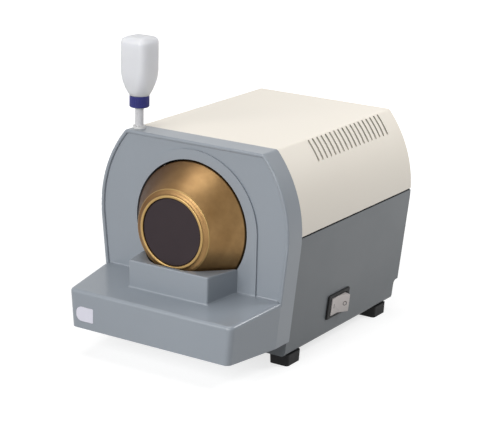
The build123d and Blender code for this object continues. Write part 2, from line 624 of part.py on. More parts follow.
with BuildPart() as front_housing:
    # flange with the raised rim round the fascia
    with BuildSketch(front_plane(FASCIA)):
        add(section(0, TRAY_REAR_BOTTOM))
    extrude(amount=-FLANGE_DEPTH)
    with BuildSketch(front_plane(FACE_BACK)):
        add(section(MOULD_WALL, TRAY_REAR_BOTTOM + MOULD_WALL))
    extrude(amount=-FLANGE_DEPTH, mode=Mode.SUBTRACT)
    with BuildSketch(front_plane(FASCIA - 1)):
        add(section(BEAD_WIDTH, TRAY_REAR_BOTTOM - 1))
    extrude(amount=-(FACE_RECESS + 1), mode=Mode.SUBTRACT)
    rim_face = front_housing.faces().sort_by(Axis.Y)[0]
    rim_edges = rim_face.edges().filter_by(lambda e: e.center().Z > TRAY_REAR_BOTTOM + 1)
    fillet(rim_edges, BEAD_RADIUS)
    # fill behind the tray, flush with the flange's sides
    with BuildSketch(front_plane(FASCIA)):
        add(section(0, TRAY_REAR_BOTTOM, TRAY_REAR_TOP - TRAY_EDGE_RADIUS))
        add(section(BEAD_WIDTH, TRAY_REAR_BOTTOM, TRAY_REAR_TOP))
    extrude(amount=-FACE_RECESS)
    # raised arch panel
    with BuildSketch(front_plane(FACE_FRONT - ARCH_RAISE)):
        with Locations((0, AXIS_HEIGHT)):
            Circle(ARCH_RADIUS)
        with Locations((0, TRAY_REAR_TOP - 1)):
            Rectangle(2 * ARCH_RADIUS, AXIS_HEIGHT - TRAY_REAR_TOP + 1, align=(Align.CENTER, Align.MIN))
        with Locations((0, TRAY_REAR_TOP - 1)):
            Rectangle(BIG, BIG, align=(Align.CENTER, Align.MAX), mode=Mode.SUBTRACT)
    extrude(amount=-(ARCH_RAISE + 1))
    add(tray.part)
    add(block.part)
    with BuildSketch(front_plane(TRAY_FRONT)):
        with Locations((LABEL_INSET - TRAY_FRONT_HALF_TOP, LABEL_HEIGHT)):
            label = Rectangle(LABEL_WIDTH, LABEL_TALL)
            fillet(label.vertices().group_by(Axis.X)[0], LABEL_END_RADIUS)
    extrude(amount=-LABEL_RECESS, mode=Mode.SUBTRACT)
    # hollow under the tray, stiffened by ribs
    with BuildSketch(front_plane(FASCIA)):
        add(
            tray_section(
                side_x(TRAY_REAR_TOP) - MOULD_WALL,
                TRAY_FRONT_TOP - MOULD_WALL,
                side_x(TRAY_REAR_BOTTOM) - MOULD_WALL - 1,
                0,
            )
        )
    with BuildSketch(front_plane(TRAY_FRONT + MOULD_WALL)):
        add(
            tray_section(
                TRAY_FRONT_HALF_TOP - MOULD_WALL,
                TRAY_FRONT_TOP - MOULD_WALL,
                TRAY_FRONT_HALF_BOTTOM - MOULD_WALL - 1,
                0,
            )
        )
    loft(ruled=True, mode=Mode.SUBTRACT)
    with Locations(*[(x, TRAY_FRONT + 1, TRAY_PLATE_TOP) for x in TRAY_RIB_PLACES]):
        Box(
            TRAY_RIB_WIDTH,
            TRAY_REACH,
            TRAY_FRONT_TOP - TRAY_PLATE_TOP - 1,
            align=(Align.CENTER, Align.MIN, Align.MIN),
        )
    with Locations(*[(x, y, TRAY_PLATE_TOP) for x, y in TRAY_SCREW_PLACES]):
        Cylinder(BOSS_RADIUS, TRAY_FRONT_TOP - TRAY_PLATE_TOP - 1, align=ON_BASE)
    with Locations((0, DRAIN_Y, TRAY_PLATE_TOP)):
        Cylinder(DRAIN_BOSS_RADIUS, TRAY_REAR_TOP - TRAY_PLATE_TOP - 2, align=ON_BASE)
    # wheel opening and the hollow in the trough block, one cut round the wheel's form
    add(turned(WHEEL_ROOM), mode=Mode.SUBTRACT)
    # trough drain, tray screws, socket for the bottle, screws of the splash guard and of the lower body
    with Locations((0, DRAIN_Y, TRAY_PLATE_TOP)):
        Cylinder(DRAIN_BORE_RADIUS, BIG / 10, align=ON_BASE, mode=Mode.SUBTRACT)
        Cylinder(DRAIN_RADIUS, DRAIN_PLUG, align=ON_BASE, mode=Mode.SUBTRACT)
    with Locations(*[(x, y, TRAY_PLATE_TOP) for x, y in TRAY_SCREW_PLACES]):
        Cylinder(SCREW_RADIUS, TRAY_SCREW_LENGTH, align=ON_BASE, mode=Mode.SUBTRACT)
    with Locations((BOTTLE_X, BOTTLE_Y, ROOF_HEIGHT)):
        Cylinder(SOCKET_RADIUS, 4 * MOULD_WALL, mode=Mode.SUBTRACT)
    with Locations(*[Location(place, (90, 0, 0)) for place in GUARD_SCREW_PLACES]):
        Cylinder(SCREW_RADIUS, 2 * GUARD_SCREW_DEPTH, mode=Mode.SUBTRACT)
    with Locations(*LIP_SCREW_PLACES):
        Cylinder(SCREW_RADIUS, 2 * (LIP_IN - LIP_SCREW_SKIN), mode=Mode.SUBTRACT)
save(front_housing, "front_housing")

with BuildPart() as tray_plate:
    with BuildSketch(Plane.XY.offset(TRAY_PLATE_TOP)):
        with BuildLine():
            front_half = TRAY_FRONT_HALF_BOTTOM - MOULD_WALL - 2
            rear_half = side_x(TRAY_REAR_BOTTOM) - MOULD_WALL - 2
            front_y = TRAY_FRONT + MOULD_WALL + LIP_CLEARANCE
            rear_y = FASCIA - LIP_CLEARANCE
            Polyline(
                (-front_half, front_y),
                (front_half, front_y),
                (rear_half, rear_y),
                (-rear_half, rear_y),
                close=True,
            )
        make_face()
        with Locations(*TRAY_SCREW_PLACES):
            Circle(SCREW_RADIUS + LIP_CLEARANCE, mode=Mode.SUBTRACT)
        with Locations((0, DRAIN_Y)):
            Circle(DRAIN_RADIUS, mode=Mode.SUBTRACT)
    extrude(amount=-TRAY_PLATE)
save(tray_plate, "tray_plate")

with BuildPart() as tray_screws:
    with Locations(*[(x, y, TRAY_PLATE_TOP - TRAY_PLATE) for x, y in TRAY_SCREW_PLACES]):
        Cylinder(HEAD_RADIUS, HEAD_HEIGHT, align=UNDER_TOP)
        Cylinder(SCREW_RADIUS, TRAY_PLATE + TRAY_SCREW_LENGTH, align=ON_BASE)
save(tray_screws, "tray_screws")

with BuildPart() as drain_nipple:
    nipple_top = TRAY_PLATE_TOP + DRAIN_PLUG
    flange_bottom = TRAY_PLATE_TOP - TRAY_PLATE - DRAIN_FLANGE
    with BuildSketch(Plane.XZ):
        with BuildLine():
            Polyline(
                (DRAIN_BORE_RADIUS, nipple_top),
                (DRAIN_RADIUS, nipple_top),
                (DRAIN_RADIUS, TRAY_PLATE_TOP - TRAY_PLATE),
                (DRAIN_FLANGE_RADIUS, TRAY_PLATE_TOP - TRAY_PLATE),
                (DRAIN_FLANGE_RADIUS, flange_bottom),
                (DRAIN_RADIUS, flange_bottom),
                (DRAIN_RADIUS, flange_bottom - DRAIN_LENGTH + DRAIN_TIP),
                (DRAIN_RADIUS - 1, flange_bottom - DRAIN_LENGTH),
                (DRAIN_BORE_RADIUS, flange_bottom - DRAIN_LENGTH),
                close=True,
            )
        make_face()
    revolve(axis=Axis.Z)
drain_nipple.part = drain_nipple.part.moved(Location((0, DRAIN_Y, 0)))
save(drain_nipple, "drain_nipple")


# --- Lower body and cover --------------------------------------------------------------------------
def skin_shell(low, high, floor, corner):
    """Body skin between two heights: walls, front return, lip into the flange, rear return.  The side
    at `floor` is closed, and an open side is left where floor is None."""
    inner_low = low + WALL if floor else low - 1
    lip_low = TRAY_REAR_BOTTOM + MOULD_WALL + LIP_CLEARANCE if floor else low
    with BuildPart() as shell:
        with BuildSketch(front_plane(SEAM)):
            add(section(BODY_INSET, low, high, corner))
        extrude(amount=-(BODY_REAR - SEAM))
        with BuildSketch(front_plane(SEAM + WALL)):
            add(section(SKIN, inner_low, BIG, max(corner - WALL, 0)))
        extrude(amount=-BIG, mode=Mode.SUBTRACT)
        with BuildSketch(front_plane(SEAM - LIP_LENGTH)):
            add(section(LIP_OUT, lip_low, high))
        extrude(amount=-(LIP_LENGTH + WALL / 2))
        with BuildSketch(front_plane(SEAM - LIP_LENGTH - 1)):
            add(section(LIP_IN, lip_low + WALL if floor else low - 1))
        extrude(amount=-(LIP_LENGTH + WALL + 2), mode=Mode.SUBTRACT)
        # return flange that the rear panel is screwed to
        with BuildSketch(front_plane(PANEL_FRONT - SHEET)):
            add(section(SKIN - WALL / 2, low + (WALL / 2 if floor else 0), high, max(corner - WALL / 2, 0)))
            add(section(SKIN + RETURN_WIDTH, BASE_TOP + 1 if floor else low - 1), mode=Mode.SUBTRACT)
        extrude(amount=-SHEET)
    return shell.part


with BuildPart() as lower_body:
    add(skin_shell(BODY_BOTTOM, SPLIT_HEIGHT - SPLIT_GAP / 2, True, BODY_CORNER_RADIUS))
    # apron under the fascia's flange
    with BuildSketch(front_plane(FASCIA + APRON_SETBACK)):
        add(section(BODY_INSET, BODY_BOTTOM, LEDGE, BODY_CORNER_RADIUS))
    extrude(amount=-(SEAM + WALL - FASCIA - APRON_SETBACK))
    with BuildSketch(front_plane(FASCIA + APRON_SETBACK + WALL)):
        add(section(SKIN, SHELL_FLOOR, LEDGE - WALL, BODY_CORNER_RADIUS - WALL))
    extrude(amount=-(SEAM + WALL + 1 - FASCIA - APRON_SETBACK - WALL), mode=Mode.SUBTRACT)
    # stepped rear corner
    with BuildSketch(SIDE_PLANE):
        with BuildLine():
            notch_y = BODY_REAR - NOTCH_DEPTH
            beyond_y = BODY_REAR + NOTCH_DEPTH
            Polyline((notch_y, 0), (beyond_y, 0), (beyond_y, NOTCH_HEIGHT), (notch_y, NOTCH_HEIGHT), close=True)
        notch = make_face()
        fillet(notch.vertices().group_by(Axis.Y)[-1].sort_by(Axis.X)[0], NOTCH_RADIUS)
    extrude(amount=BIG / 2, both=True, mode=Mode.SUBTRACT)
    with BuildSketch(SWITCH_PLANE):
        Rectangle(SWITCH_BODY_LENGTH, SWITCH_BODY_TALL)
    extrude(amount=SWITCH_BODY_DEPTH / 2, both=True, mode=Mode.SUBTRACT)
    with Locations(*[(x, y, BODY_BOTTOM) for x, y in FOOT_PLACES]):
        Cylinder(FOOT_SCREW_RADIUS, 4 * WALL, mode=Mode.SUBTRACT)
    for x, z in LOWER_PANEL_SCREWS:
        with Locations(Location((x, PANEL_FRONT, z), (90, 0, 0))):
            Cylinder(SCREW_RADIUS, 4 * SHEET, mode=Mode.SUBTRACT)
    with Locations(*LIP_SCREW_PLACES):
        Cylinder(SCREW_RADIUS, 4 * WALL, mode=Mode.SUBTRACT)
save(lower_body, "lower_body")

with BuildPart() as upper_cover:
    add(skin_shell(SPLIT_HEIGHT + SPLIT_GAP / 2, BIG, False, 0))
    for side in (1, -1):
        low_x = side_x(SLOT_LOW)
        high_x = side_x(SLOT_HIGH)
        length = sqrt((low_x - high_x) ** 2 + (SLOT_HIGH - SLOT_LOW) ** 2)
        slope = ((SLOT_HIGH - SLOT_LOW) / length, (low_x - high_x) / length)
        slot_plane = Plane(
            origin=(side * (low_x + high_x) / 2, SLOT_MIDDLE_Y, (SLOT_LOW + SLOT_HIGH) / 2),
            x_dir=(0, 1, 0),
            z_dir=(side * slope[0], 0, slope[1]),
        )
        with BuildSketch(slot_plane):
            with GridLocations(SLOT_PITCH, 0, SLOT_COUNT, 1):
                SlotOverall(length, SLOT_WIDTH, rotation=90)
        extrude(amount=2 * WALL, both=True, mode=Mode.SUBTRACT)
    for x, z in UPPER_PANEL_SCREWS:
        with Locations(Location((x, PANEL_FRONT, z), (90, 0, 0))):
            Cylinder(SCREW_RADIUS, 4 * SHEET, mode=Mode.SUBTRACT)
    with Locations((BOTTLE_X, BOTTLE_Y, ROOF_HEIGHT)):
        Cylinder(SOCKET_RADIUS + LIP_CLEARANCE, 8 * WALL, mode=Mode.SUBTRACT)
save(upper_cover, "upper_cover")

with BuildPart() as joint_gasket:
    with BuildSketch(front_plane(SEAM)):
        add(section(BODY_INSET + GASKET_SETBACK, SPLIT_HEIGHT - SPLIT_GAP / 2, SPLIT_HEIGHT + SPLIT_GAP / 2))
        add(section(SKIN, SPLIT_HEIGHT - SPLIT_GAP / 2, SPLIT_HEIGHT + SPLIT_GAP / 2), mode=Mode.SUBTRACT)
    extrude(amount=-(BODY_REAR - SEAM - GASKET_SETBACK))
save(joint_gasket, "joint_gasket")

with BuildPart() as rear_panel:
    with BuildSketch(front_plane(PANEL_FRONT)):
        add(section(SKIN + LIP_CLEARANCE, SHELL_FLOOR + LIP_CLEARANCE, BIG, BODY_CORNER_RADIUS - WALL))
        with Locations(*LOWER_PANEL_SCREWS, *UPPER_PANEL_SCREWS):
            Circle(SCREW_RADIUS + LIP_CLEARANCE, mode=Mode.SUBTRACT)
        with Locations((INLET_X, INLET_HEIGHT)):
            Rectangle(INLET_WIDTH, INLET_TALL, mode=Mode.SUBTRACT)
        with Locations(*INLET_SCREW_PLACES):
            Circle(SCREW_RADIUS, mode=Mode.SUBTRACT)
        for grille_x in (-GRILLE_X, GRILLE_X):
            with Locations((grille_x, AXIS_HEIGHT)):
                with GridLocations(0, GRILLE_PITCH, 1, GRILLE_COUNT):
                    SlotOverall(GRILLE_LENGTH, SLOT_WIDTH, mode=Mode.SUBTRACT)
    extrude(amount=-SHEET)
save(rear_panel, "rear_panel")

with BuildPart() as panel_screws:
    for x, z in LOWER_PANEL_SCREWS + UPPER_PANEL_SCREWS:
        with Locations(Location((x, PANEL_REAR, z), (90, 0, 0))):
            Cylinder(SCREW_RADIUS, 3 * SHEET, align=ON_BASE)
            Cylinder(HEAD_RADIUS, HEAD_HEIGHT, align=UNDER_TOP)
save(panel_screws, "panel_screws")

with BuildPart() as housing_screws:
    with Locations(*LIP_SCREW_PLACES):
        Cylinder(SCREW_RADIUS, LIP_IN - LIP_SCREW_SKIN, align=ON_BASE)
        Cylinder(HEAD_RADIUS, HEAD_HEIGHT, align=UNDER_TOP)
save(housing_screws, "housing_screws")

# --- Base plate, feet and bulkhead -----------------------------------------------------------------
with BuildPart() as base_plate:
    with BuildSketch(Plane.XY.offset(SHELL_FLOOR)):
        plate_front = BULKHEAD - BASE_FRONT_MARGIN
        plate_rear = PANEL_FRONT - 2 * SHEET
        with Locations((0, (plate_front + plate_rear) / 2)):
            RectangleRounded(2 * BASE_HALF_WIDTH, plate_rear - plate_front, 6)
        with Locations(*FOOT_PLACES):
            Circle(FOOT_SCREW_RADIUS, mode=Mode.SUBTRACT)
        with Locations(*CHASSIS_SCREW_PLACES):
            Circle(SCREW_RADIUS, mode=Mode.SUBTRACT)
    extrude(amount=PLATE)
save(base_plate, "base_plate")

with BuildPart() as rubber_feet:
    with BuildSketch(Plane.XY.offset(BODY_BOTTOM)):
        with Locations(*FOOT_PLACES):
            RectangleRounded(FOOT_WIDTH, FOOT_DEPTH, 4)
    extrude(amount=-BODY_BOTTOM, taper=3)
    with Locations(*[(x, y, 0) for x, y in FOOT_PLACES]):
        Cylinder(FOOT_SCREW_RADIUS, 3 * BODY_BOTTOM, mode=Mode.SUBTRACT)
        Cylinder(FOOT_HEAD_RADIUS, 2 * FOOT_HEAD_DEPTH, mode=Mode.SUBTRACT)
save(rubber_feet, "rubber_feet")

with BuildPart() as foot_screws:
    with Locations(*[(x, y, FOOT_HEAD_DEPTH) for x, y in FOOT_PLACES]):
        Cylinder(FOOT_HEAD_RADIUS - 1, HEAD_HEIGHT, align=UNDER_TOP)
        Cylinder(FOOT_SCREW_RADIUS, BASE_TOP + NUT_HEIGHT + 1 - FOOT_HEAD_DEPTH, align=ON_BASE)
save(foot_screws, "foot_screws")

with BuildPart() as foot_nuts:
    with BuildSketch(Plane.XY.offset(BASE_TOP)):
        with Locations(*FOOT_PLACES):
            RegularPolygon(FOOT_HEAD_RADIUS - 1, 6)
            Circle(FOOT_SCREW_RADIUS, mode=Mode.SUBTRACT)
    extrude(amount=NUT_HEIGHT)
save(foot_nuts, "foot_nuts")

with BuildPart() as bulkhead:
    with BuildSketch(front_plane(BULKHEAD)):
        add(section(SKIN + LIP_CLEARANCE, BASE_TOP))
        with Locations((AXIS_X, AXIS_HEIGHT)):
            Circle(BULKHEAD_BORE, mode=Mode.SUBTRACT)
            with PolarLocations(MOTOR_BOLT_CIRCLE, 4, start_angle=45):
                Circle(SCREW_RADIUS, mode=Mode.SUBTRACT)
    extrude(amount=-SHEET)
    with Locations((0, BULKHEAD, BASE_TOP)):
        Box(
            2 * (BASE_HALF_WIDTH - BULKHEAD_FOOT_INSET),
            BULKHEAD_FOOT,
            SHEET,
            align=(Align.CENTER, Align.MIN, Align.MIN),
        )
    with Locations(*[(x, y, BASE_TOP) for x, y in CHASSIS_SCREW_PLACES[:2]]):
        Cylinder(SCREW_RADIUS, 4 * SHEET, mode=Mode.SUBTRACT)
save(bulkhead, "bulkhead")

# --- Splash guard, wheel and spindle ---------------------------------------------------------------
GUARD_BACK = FASCIA + GUARD_DEPTH
with BuildPart() as splash_guard:
    add(
        turned(
            [
                (FACE_BACK, OPENING_RADIUS),
                (FACE_BACK, GUARD_FLANGE_RADIUS),
                (FACE_BACK + WALL, GUARD_FLANGE_RADIUS),
                (FACE_BACK + WALL, OPENING_RADIUS + WALL),
                (GUARD_BACK + WALL, OPENING_RADIUS + WALL),
                (GUARD_BACK + WALL, GUARD_BORE),
                (GUARD_BACK, GUARD_BORE),
                (GUARD_BACK, OPENING_RADIUS),
            ]
        )
    )
    with Locations(*[Location(place, (90, 0, 0)) for place in GUARD_SCREW_PLACES]):
        Cylinder(SCREW_RADIUS, 4 * WALL, mode=Mode.SUBTRACT)
    with Locations((NOZZLE_X, BOTTLE_Y, ROOF_HEIGHT)):
        Cylinder(NOZZLE_RADIUS, ROOF_HEIGHT - AXIS_HEIGHT, align=UNDER_TOP, mode=Mode.SUBTRACT)
save(splash_guard, "splash_guard")

with BuildPart() as guard_screws:
    with Locations(*[Location((x, FACE_BACK + WALL, z), (90, 0, 0)) for x, y, z in GUARD_SCREW_PLACES]):
        Cylinder(SCREW_RADIUS, WALL + GUARD_SCREW_DEPTH, align=ON_BASE)
        Cylinder(HEAD_RADIUS, HEAD_HEIGHT, align=UNDER_TOP)
save(guard_screws, "guard_screws")

with BuildPart() as grinding_ring:
    add(turned(WHEEL_OUTLINE + BOND_LINE))
save(grinding_ring, "grinding_ring")

with BuildPart() as wheel_core:
    add(
        turned(
            BOND_LINE[::-1][:-1]
            + [
                (WHEEL_BACK, WHEEL_RADIUS - BOND_THICKNESS),
                (WHEEL_BACK, WHEEL_RADIUS - BOND_THICKNESS - CORE_RIM),
                (FASCIA - CORE_WEB, CORE_WEB_RADIUS),
                (FASCIA - CORE_WEB, HUB_RADIUS),
                (HUB_BACK, HUB_RADIUS),
                (HUB_BACK, SHAFT_RADIUS),
                (HUB_FRONT, SHAFT_RADIUS),
                (HUB_FRONT, HUB_RADIUS),
                (DISC_SEAT + DISC_RIM, DISC_RADIUS - 2 * DISC_RIM),
                (DISC_SEAT, DISC_RADIUS - DISC_RIM),
            ]
        )
    )
save(wheel_core, "wheel_core")

with BuildPart() as wheel_cap:
    add(
        turned(
            [
                (DISC_FRONT, 0),
                (DISC_FRONT, DISC_RADIUS - DISC_CHAMFER),
                (DISC_FRONT + DISC_CHAMFER, DISC_RADIUS),
                (DISC_SEAT, DISC_RADIUS),
                (DISC_SEAT, DISC_RADIUS - DISC_WALL),
                (DISC_FRONT + DISC_WALL, DISC_RADIUS - DISC_WALL),
                (DISC_FRONT + DISC_WALL, 0),
            ]
        )
    )
save(wheel_cap, "wheel_cap")

with BuildPart() as clamp_washer:
    add(
        turned(
            [
                (HUB_FRONT - WASHER, SHAFT_RADIUS),
                (HUB_FRONT - WASHER, HUB_RADIUS - HUB_BOSS),
                (HUB_FRONT, HUB_RADIUS - HUB_BOSS),
                (HUB_FRONT, SHAFT_RADIUS),
            ]
        )
    )
save(clamp_washer, "clamp_washer")

with BuildPart() as wheel_nut:
    with BuildSketch(front_plane(HUB_FRONT - WASHER)):
        with Locations((AXIS_X, AXIS_HEIGHT)):
            RegularPolygon(NUT_RADIUS, 6)
            Circle(SHAFT_RADIUS, mode=Mode.SUBTRACT)
    extrude(amount=NUT_LENGTH)
save(wheel_nut, "wheel_nut")

with BuildPart() as drive_flange:
    add(
        turned(
            [
                (HUB_BACK, SHAFT_RADIUS),
                (HUB_BACK, HUB_RADIUS),
                (HUB_BACK + COLLAR_PLATE, HUB_RADIUS),
                (HUB_BACK + COLLAR_PLATE, COLLAR_BOSS_RADIUS),
                (COLLAR_BACK, COLLAR_BOSS_RADIUS),
                (COLLAR_BACK, SHAFT_RADIUS),
            ]
        )
    )
save(drive_flange, "drive_flange")

with BuildPart() as shaft_seal:
    add(
        turned(
            [
                (COLLAR_BACK, SHAFT_RADIUS),
                (COLLAR_BACK, SHAFT_RADIUS + SEAL_WALL),
                (GUARD_BACK - SEAL_LIP, SHAFT_RADIUS + SEAL_WALL + 1),
                (GUARD_BACK - LIP_CLEARANCE, SEAL_RADIUS),
                (GUARD_BACK - LIP_CLEARANCE, SEAL_RADIUS - 1),
                (GUARD_BACK - SEAL_LIP, SHAFT_RADIUS + 1),
                (GUARD_BACK - SEAL_LIP, SHAFT_RADIUS),
            ]
        )
    )
save(shaft_seal, "shaft_seal")

with BuildPart() as motor_shaft:
    add(
        turned(
            [
                (HUB_FRONT - SHAFT_TIP, 0),
                (HUB_FRONT - SHAFT_TIP, SHAFT_RADIUS - SHAFT_CHAMFER),
                (HUB_FRONT - SHAFT_TIP + SHAFT_CHAMFER, SHAFT_RADIUS),
                (MOTOR_FRONT + BELL_WALL - SHAFT_CHAMFER, SHAFT_RADIUS),
                (MOTOR_FRONT + BELL_WALL - SHAFT_CHAMFER, BEARING_SEAT),
                (MOTOR_REAR - BELL_WALL + SHAFT_CHAMFER, BEARING_SEAT),
                (MOTOR_REAR - BELL_WALL + SHAFT_CHAMFER, SHAFT_RADIUS),
                (FAN_REAR + SHAFT_END, SHAFT_RADIUS),
                (FAN_REAR + SHAFT_END, 0),
            ]
        )
    )
save(motor_shaft, "motor_shaft")

# --- Motor -----------------------------------------------------------------------------------------
with BuildPart() as rotor_core:
    add(
        turned(
            [
                (STACK_FRONT, BEARING_SEAT),
                (STACK_FRONT, ROTOR_RADIUS),
                (STACK_REAR, ROTOR_RADIUS),
                (STACK_REAR, BEARING_SEAT),
            ]
        )
    )
save(rotor_core, "rotor_core")

with BuildPart() as stator_core:
    add(
        turned(
            [
                (STACK_FRONT, ROTOR_RADIUS + AIR_GAP),
                (STACK_FRONT, MOTOR_RADIUS - MOTOR_WALL),
                (STACK_REAR, MOTOR_RADIUS - MOTOR_WALL),
                (STACK_REAR, ROTOR_RADIUS + AIR_GAP),
            ]
        )
    )
save(stator_core, "stator_core")

with BuildPart() as windings:
    for start, end in ((STACK_FRONT - WINDING_LENGTH, STACK_FRONT), (STACK_REAR, STACK_REAR + WINDING_LENGTH)):
        add(
            turned(
                [
                    (start, ROTOR_RADIUS + WINDING_GAP),
                    (start, MOTOR_RADIUS - MOTOR_WALL - WINDING_GAP),
                    (end, MOTOR_RADIUS - MOTOR_WALL - WINDING_GAP),
                    (end, ROTOR_RADIUS + WINDING_GAP),
                ]
            )
        )
save(windings, "windings")

with BuildPart() as motor_can:
    add(
        turned(
            [
                (CAN_FRONT, MOTOR_RADIUS - MOTOR_WALL),
                (CAN_FRONT, MOTOR_RADIUS),
                (CAN_REAR, MOTOR_RADIUS),
                (CAN_REAR, MOTOR_RADIUS - MOTOR_WALL),
            ]
        )
    )
save(motor_can, "motor_can")


def end_bell(outer, inner):
    """End bell between its outer face and the can: a cup with the bearing's seat in its middle."""
    step = 1 if inner > outer else -1
    web = outer + step * BELL_WALL
    seat = outer + step * (BELL_WALL + BEARING_WIDTH)
    with BuildPart() as bell:
        add(
            turned(
                [
                    (outer, BEARING_SEAT + 1),
                    (outer, MOTOR_RADIUS),
                    (inner, MOTOR_RADIUS),
                    (inner, MOTOR_RADIUS - MOTOR_WALL),
                    (web, MOTOR_RADIUS - MOTOR_WALL),
                    (web, BEARING_RADIUS + BELL_WALL),
                    (seat, BEARING_RADIUS + BELL_WALL),
                    (seat, BEARING_RADIUS),
                    (web, BEARING_RADIUS),
                    (web, BEARING_SEAT + 1),
                ]
            )
        )
    return bell.part


def bearing(web, step):
    """Ball bearing as one ring, held in its bell; the shaft turns in it."""
    return turned(
        [
            (web, BEARING_SEAT + RUNNING_FIT),
            (web, BEARING_RADIUS),
            (web + step * BEARING_WIDTH, BEARING_RADIUS),
            (web + step * BEARING_WIDTH, BEARING_SEAT + RUNNING_FIT),
        ]
    )


with BuildPart() as front_bell:
    add(end_bell(MOTOR_FRONT, CAN_FRONT))
    for angle in range(45, 360, 90):
        x = AXIS_X + MOTOR_BOLT_CIRCLE * cos(radians(angle))
        z = AXIS_HEIGHT + MOTOR_BOLT_CIRCLE * sin(radians(angle))
        with Locations(Location((x, MOTOR_FRONT, z), (90, 0, 0))):
            Cylinder(SCREW_RADIUS, 2 * BELL_WALL, mode=Mode.SUBTRACT)
save(front_bell, "front_bell")

with BuildPart() as rear_bell:
    add(end_bell(MOTOR_REAR, CAN_REAR))
save(rear_bell, "rear_bell")

with BuildPart() as front_bearing:
    add(bearing(MOTOR_FRONT + BELL_WALL, 1))
save(front_bearing, "front_bearing")

with BuildPart() as rear_bearing:
    add(bearing(MOTOR_REAR - BELL_WALL, -1))
save(rear_bearing, "rear_bearing")

with BuildPart() as motor_screws:
    for angle in range(45, 360, 90):
        x = AXIS_X + MOTOR_BOLT_CIRCLE * cos(radians(angle))
        z = AXIS_HEIGHT + MOTOR_BOLT_CIRCLE * sin(radians(angle))
        with Locations(Location((x, BULKHEAD, z), (90, 0, 0))):
            Cylinder(SCREW_RADIUS, SHEET + BELL_WALL, align=UNDER_TOP)
            Cylinder(HEAD_RADIUS, HEAD_HEIGHT, align=ON_BASE)
save(motor_screws, "motor_screws")

with BuildPart() as cooling_fan:
    add(
        turned(
            [
                (FAN_FRONT, SHAFT_RADIUS),
                (FAN_FRONT, FAN_DISC_RADIUS),
                (FAN_FRONT + FAN_DISC, FAN_DISC_RADIUS),
                (FAN_FRONT + FAN_DISC, FAN_HUB_RADIUS),
                (FAN_REAR, FAN_HUB_RADIUS),
                (FAN_REAR, SHAFT_RADIUS),
            ]
        )
    )
    with Locations(Location((AXIS_X, FAN_FRONT, AXIS_HEIGHT), (-90, 0, 0))):
        with PolarLocations(0, FAN_BLADES):
            Box(
                FAN_RADIUS,
                FAN_BLADE,
                FAN_LENGTH,
                align=(Align.MIN, Align.CENTER, Align.MIN),
            )
        Cylinder(SHAFT_RADIUS, BIG, mode=Mode.SUBTRACT)
save(cooling_fan, "cooling_fan")

with BuildPart() as fan_cowl:
    add(
        turned(
            [
                (CAN_REAR + COWL_OVERLAP, MOTOR_RADIUS),
                (CAN_REAR + COWL_OVERLAP, MOTOR_RADIUS + COWL_WALL),
                (FAN_REAR + COWL_GAP + COWL_WALL, MOTOR_RADIUS + COWL_WALL),
                (FAN_REAR + COWL_GAP + COWL_WALL, 0),
                (FAN_REAR + COWL_GAP, 0),
                (FAN_REAR + COWL_GAP, MOTOR_RADIUS),
            ]
        )
    )
    with BuildSketch(front_plane(FAN_REAR + COWL_GAP - COWL_WALL)):
        with Locations((AXIS_X, AXIS_HEIGHT)):
            with PolarLocations(COWL_HOLE_CIRCLE, COWL_HOLES):
                Circle(COWL_HOLE_RADIUS)
    extrude(amount=-3 * COWL_WALL, mode=Mode.SUBTRACT)
save(fan_cowl, "fan_cowl")

with BuildPart() as motor_cradle:
    with BuildSketch(front_plane(CRADLE_Y - CRADLE_DEPTH / 2)):
        with BuildLine():
            Polyline(
                (AXIS_X - CRADLE_FOOT, BASE_TOP),
                (AXIS_X + CRADLE_FOOT, BASE_TOP),
                (AXIS_X + CRADLE_FOOT, BASE_TOP + BELL_WALL),
                (AXIS_X + CRADLE_TOP, BASE_TOP + BELL_WALL),
                (AXIS_X + CRADLE_TOP, AXIS_HEIGHT - MOTOR_RADIUS + CRADLE_HOLD),
                (AXIS_X - CRADLE_TOP, AXIS_HEIGHT - MOTOR_RADIUS + CRADLE_HOLD),
                (AXIS_X - CRADLE_TOP, BASE_TOP + BELL_WALL),
                (AXIS_X - CRADLE_FOOT, BASE_TOP + BELL_WALL),
                close=True,
            )
        make_face()
        with Locations((AXIS_X, AXIS_HEIGHT)):
            Circle(MOTOR_RADIUS, mode=Mode.SUBTRACT)
            with Locations((0, -MOTOR_RADIUS - CRADLE_WALL)):
                Rectangle(
                    2 * (CRADLE_TOP - CRADLE_WALL),
                    AXIS_HEIGHT - MOTOR_RADIUS - BASE_TOP - 2 * CRADLE_WALL,
                    align=(Align.CENTER, Align.MAX),
                    mode=Mode.SUBTRACT,
                )
    extrude(amount=-CRADLE_DEPTH)
    with Locations(*[(x, y, BASE_TOP) for x, y in CHASSIS_SCREW_PLACES[2:]]):
        Cylinder(SCREW_RADIUS, 4 * BELL_WALL, mode=Mode.SUBTRACT)
save(motor_cradle, "motor_cradle")

with BuildPart() as chassis_screws:
    for (x, y), seat in zip(CHASSIS_SCREW_PLACES, (SHEET, SHEET, BELL_WALL, BELL_WALL)):
        with Locations((x, y, BASE_TOP + seat)):
            Cylinder(HEAD_RADIUS, HEAD_HEIGHT, align=ON_BASE)
            Cylinder(SCREW_RADIUS, seat + PLATE, align=UNDER_TOP)
save(chassis_screws, "chassis_screws")

# --- Electrical parts ------------------------------------------------------------------------------
with BuildPart() as run_capacitor:
    with Locations(Location((CAPACITOR_X, CAPACITOR_Y, CAPACITOR_Z), (90, 0, 0))):
        Cylinder(CAPACITOR_RADIUS, CAPACITOR_LENGTH)
        fillet(run_capacitor.edges().filter_by(GeomType.CIRCLE), CAPACITOR_EDGE_RADIUS)
        Cylinder(STUD_RADIUS, CAPACITOR_LENGTH / 2 + STUD_LENGTH, align=ON_BASE)
save(run_capacitor, "run_capacitor")

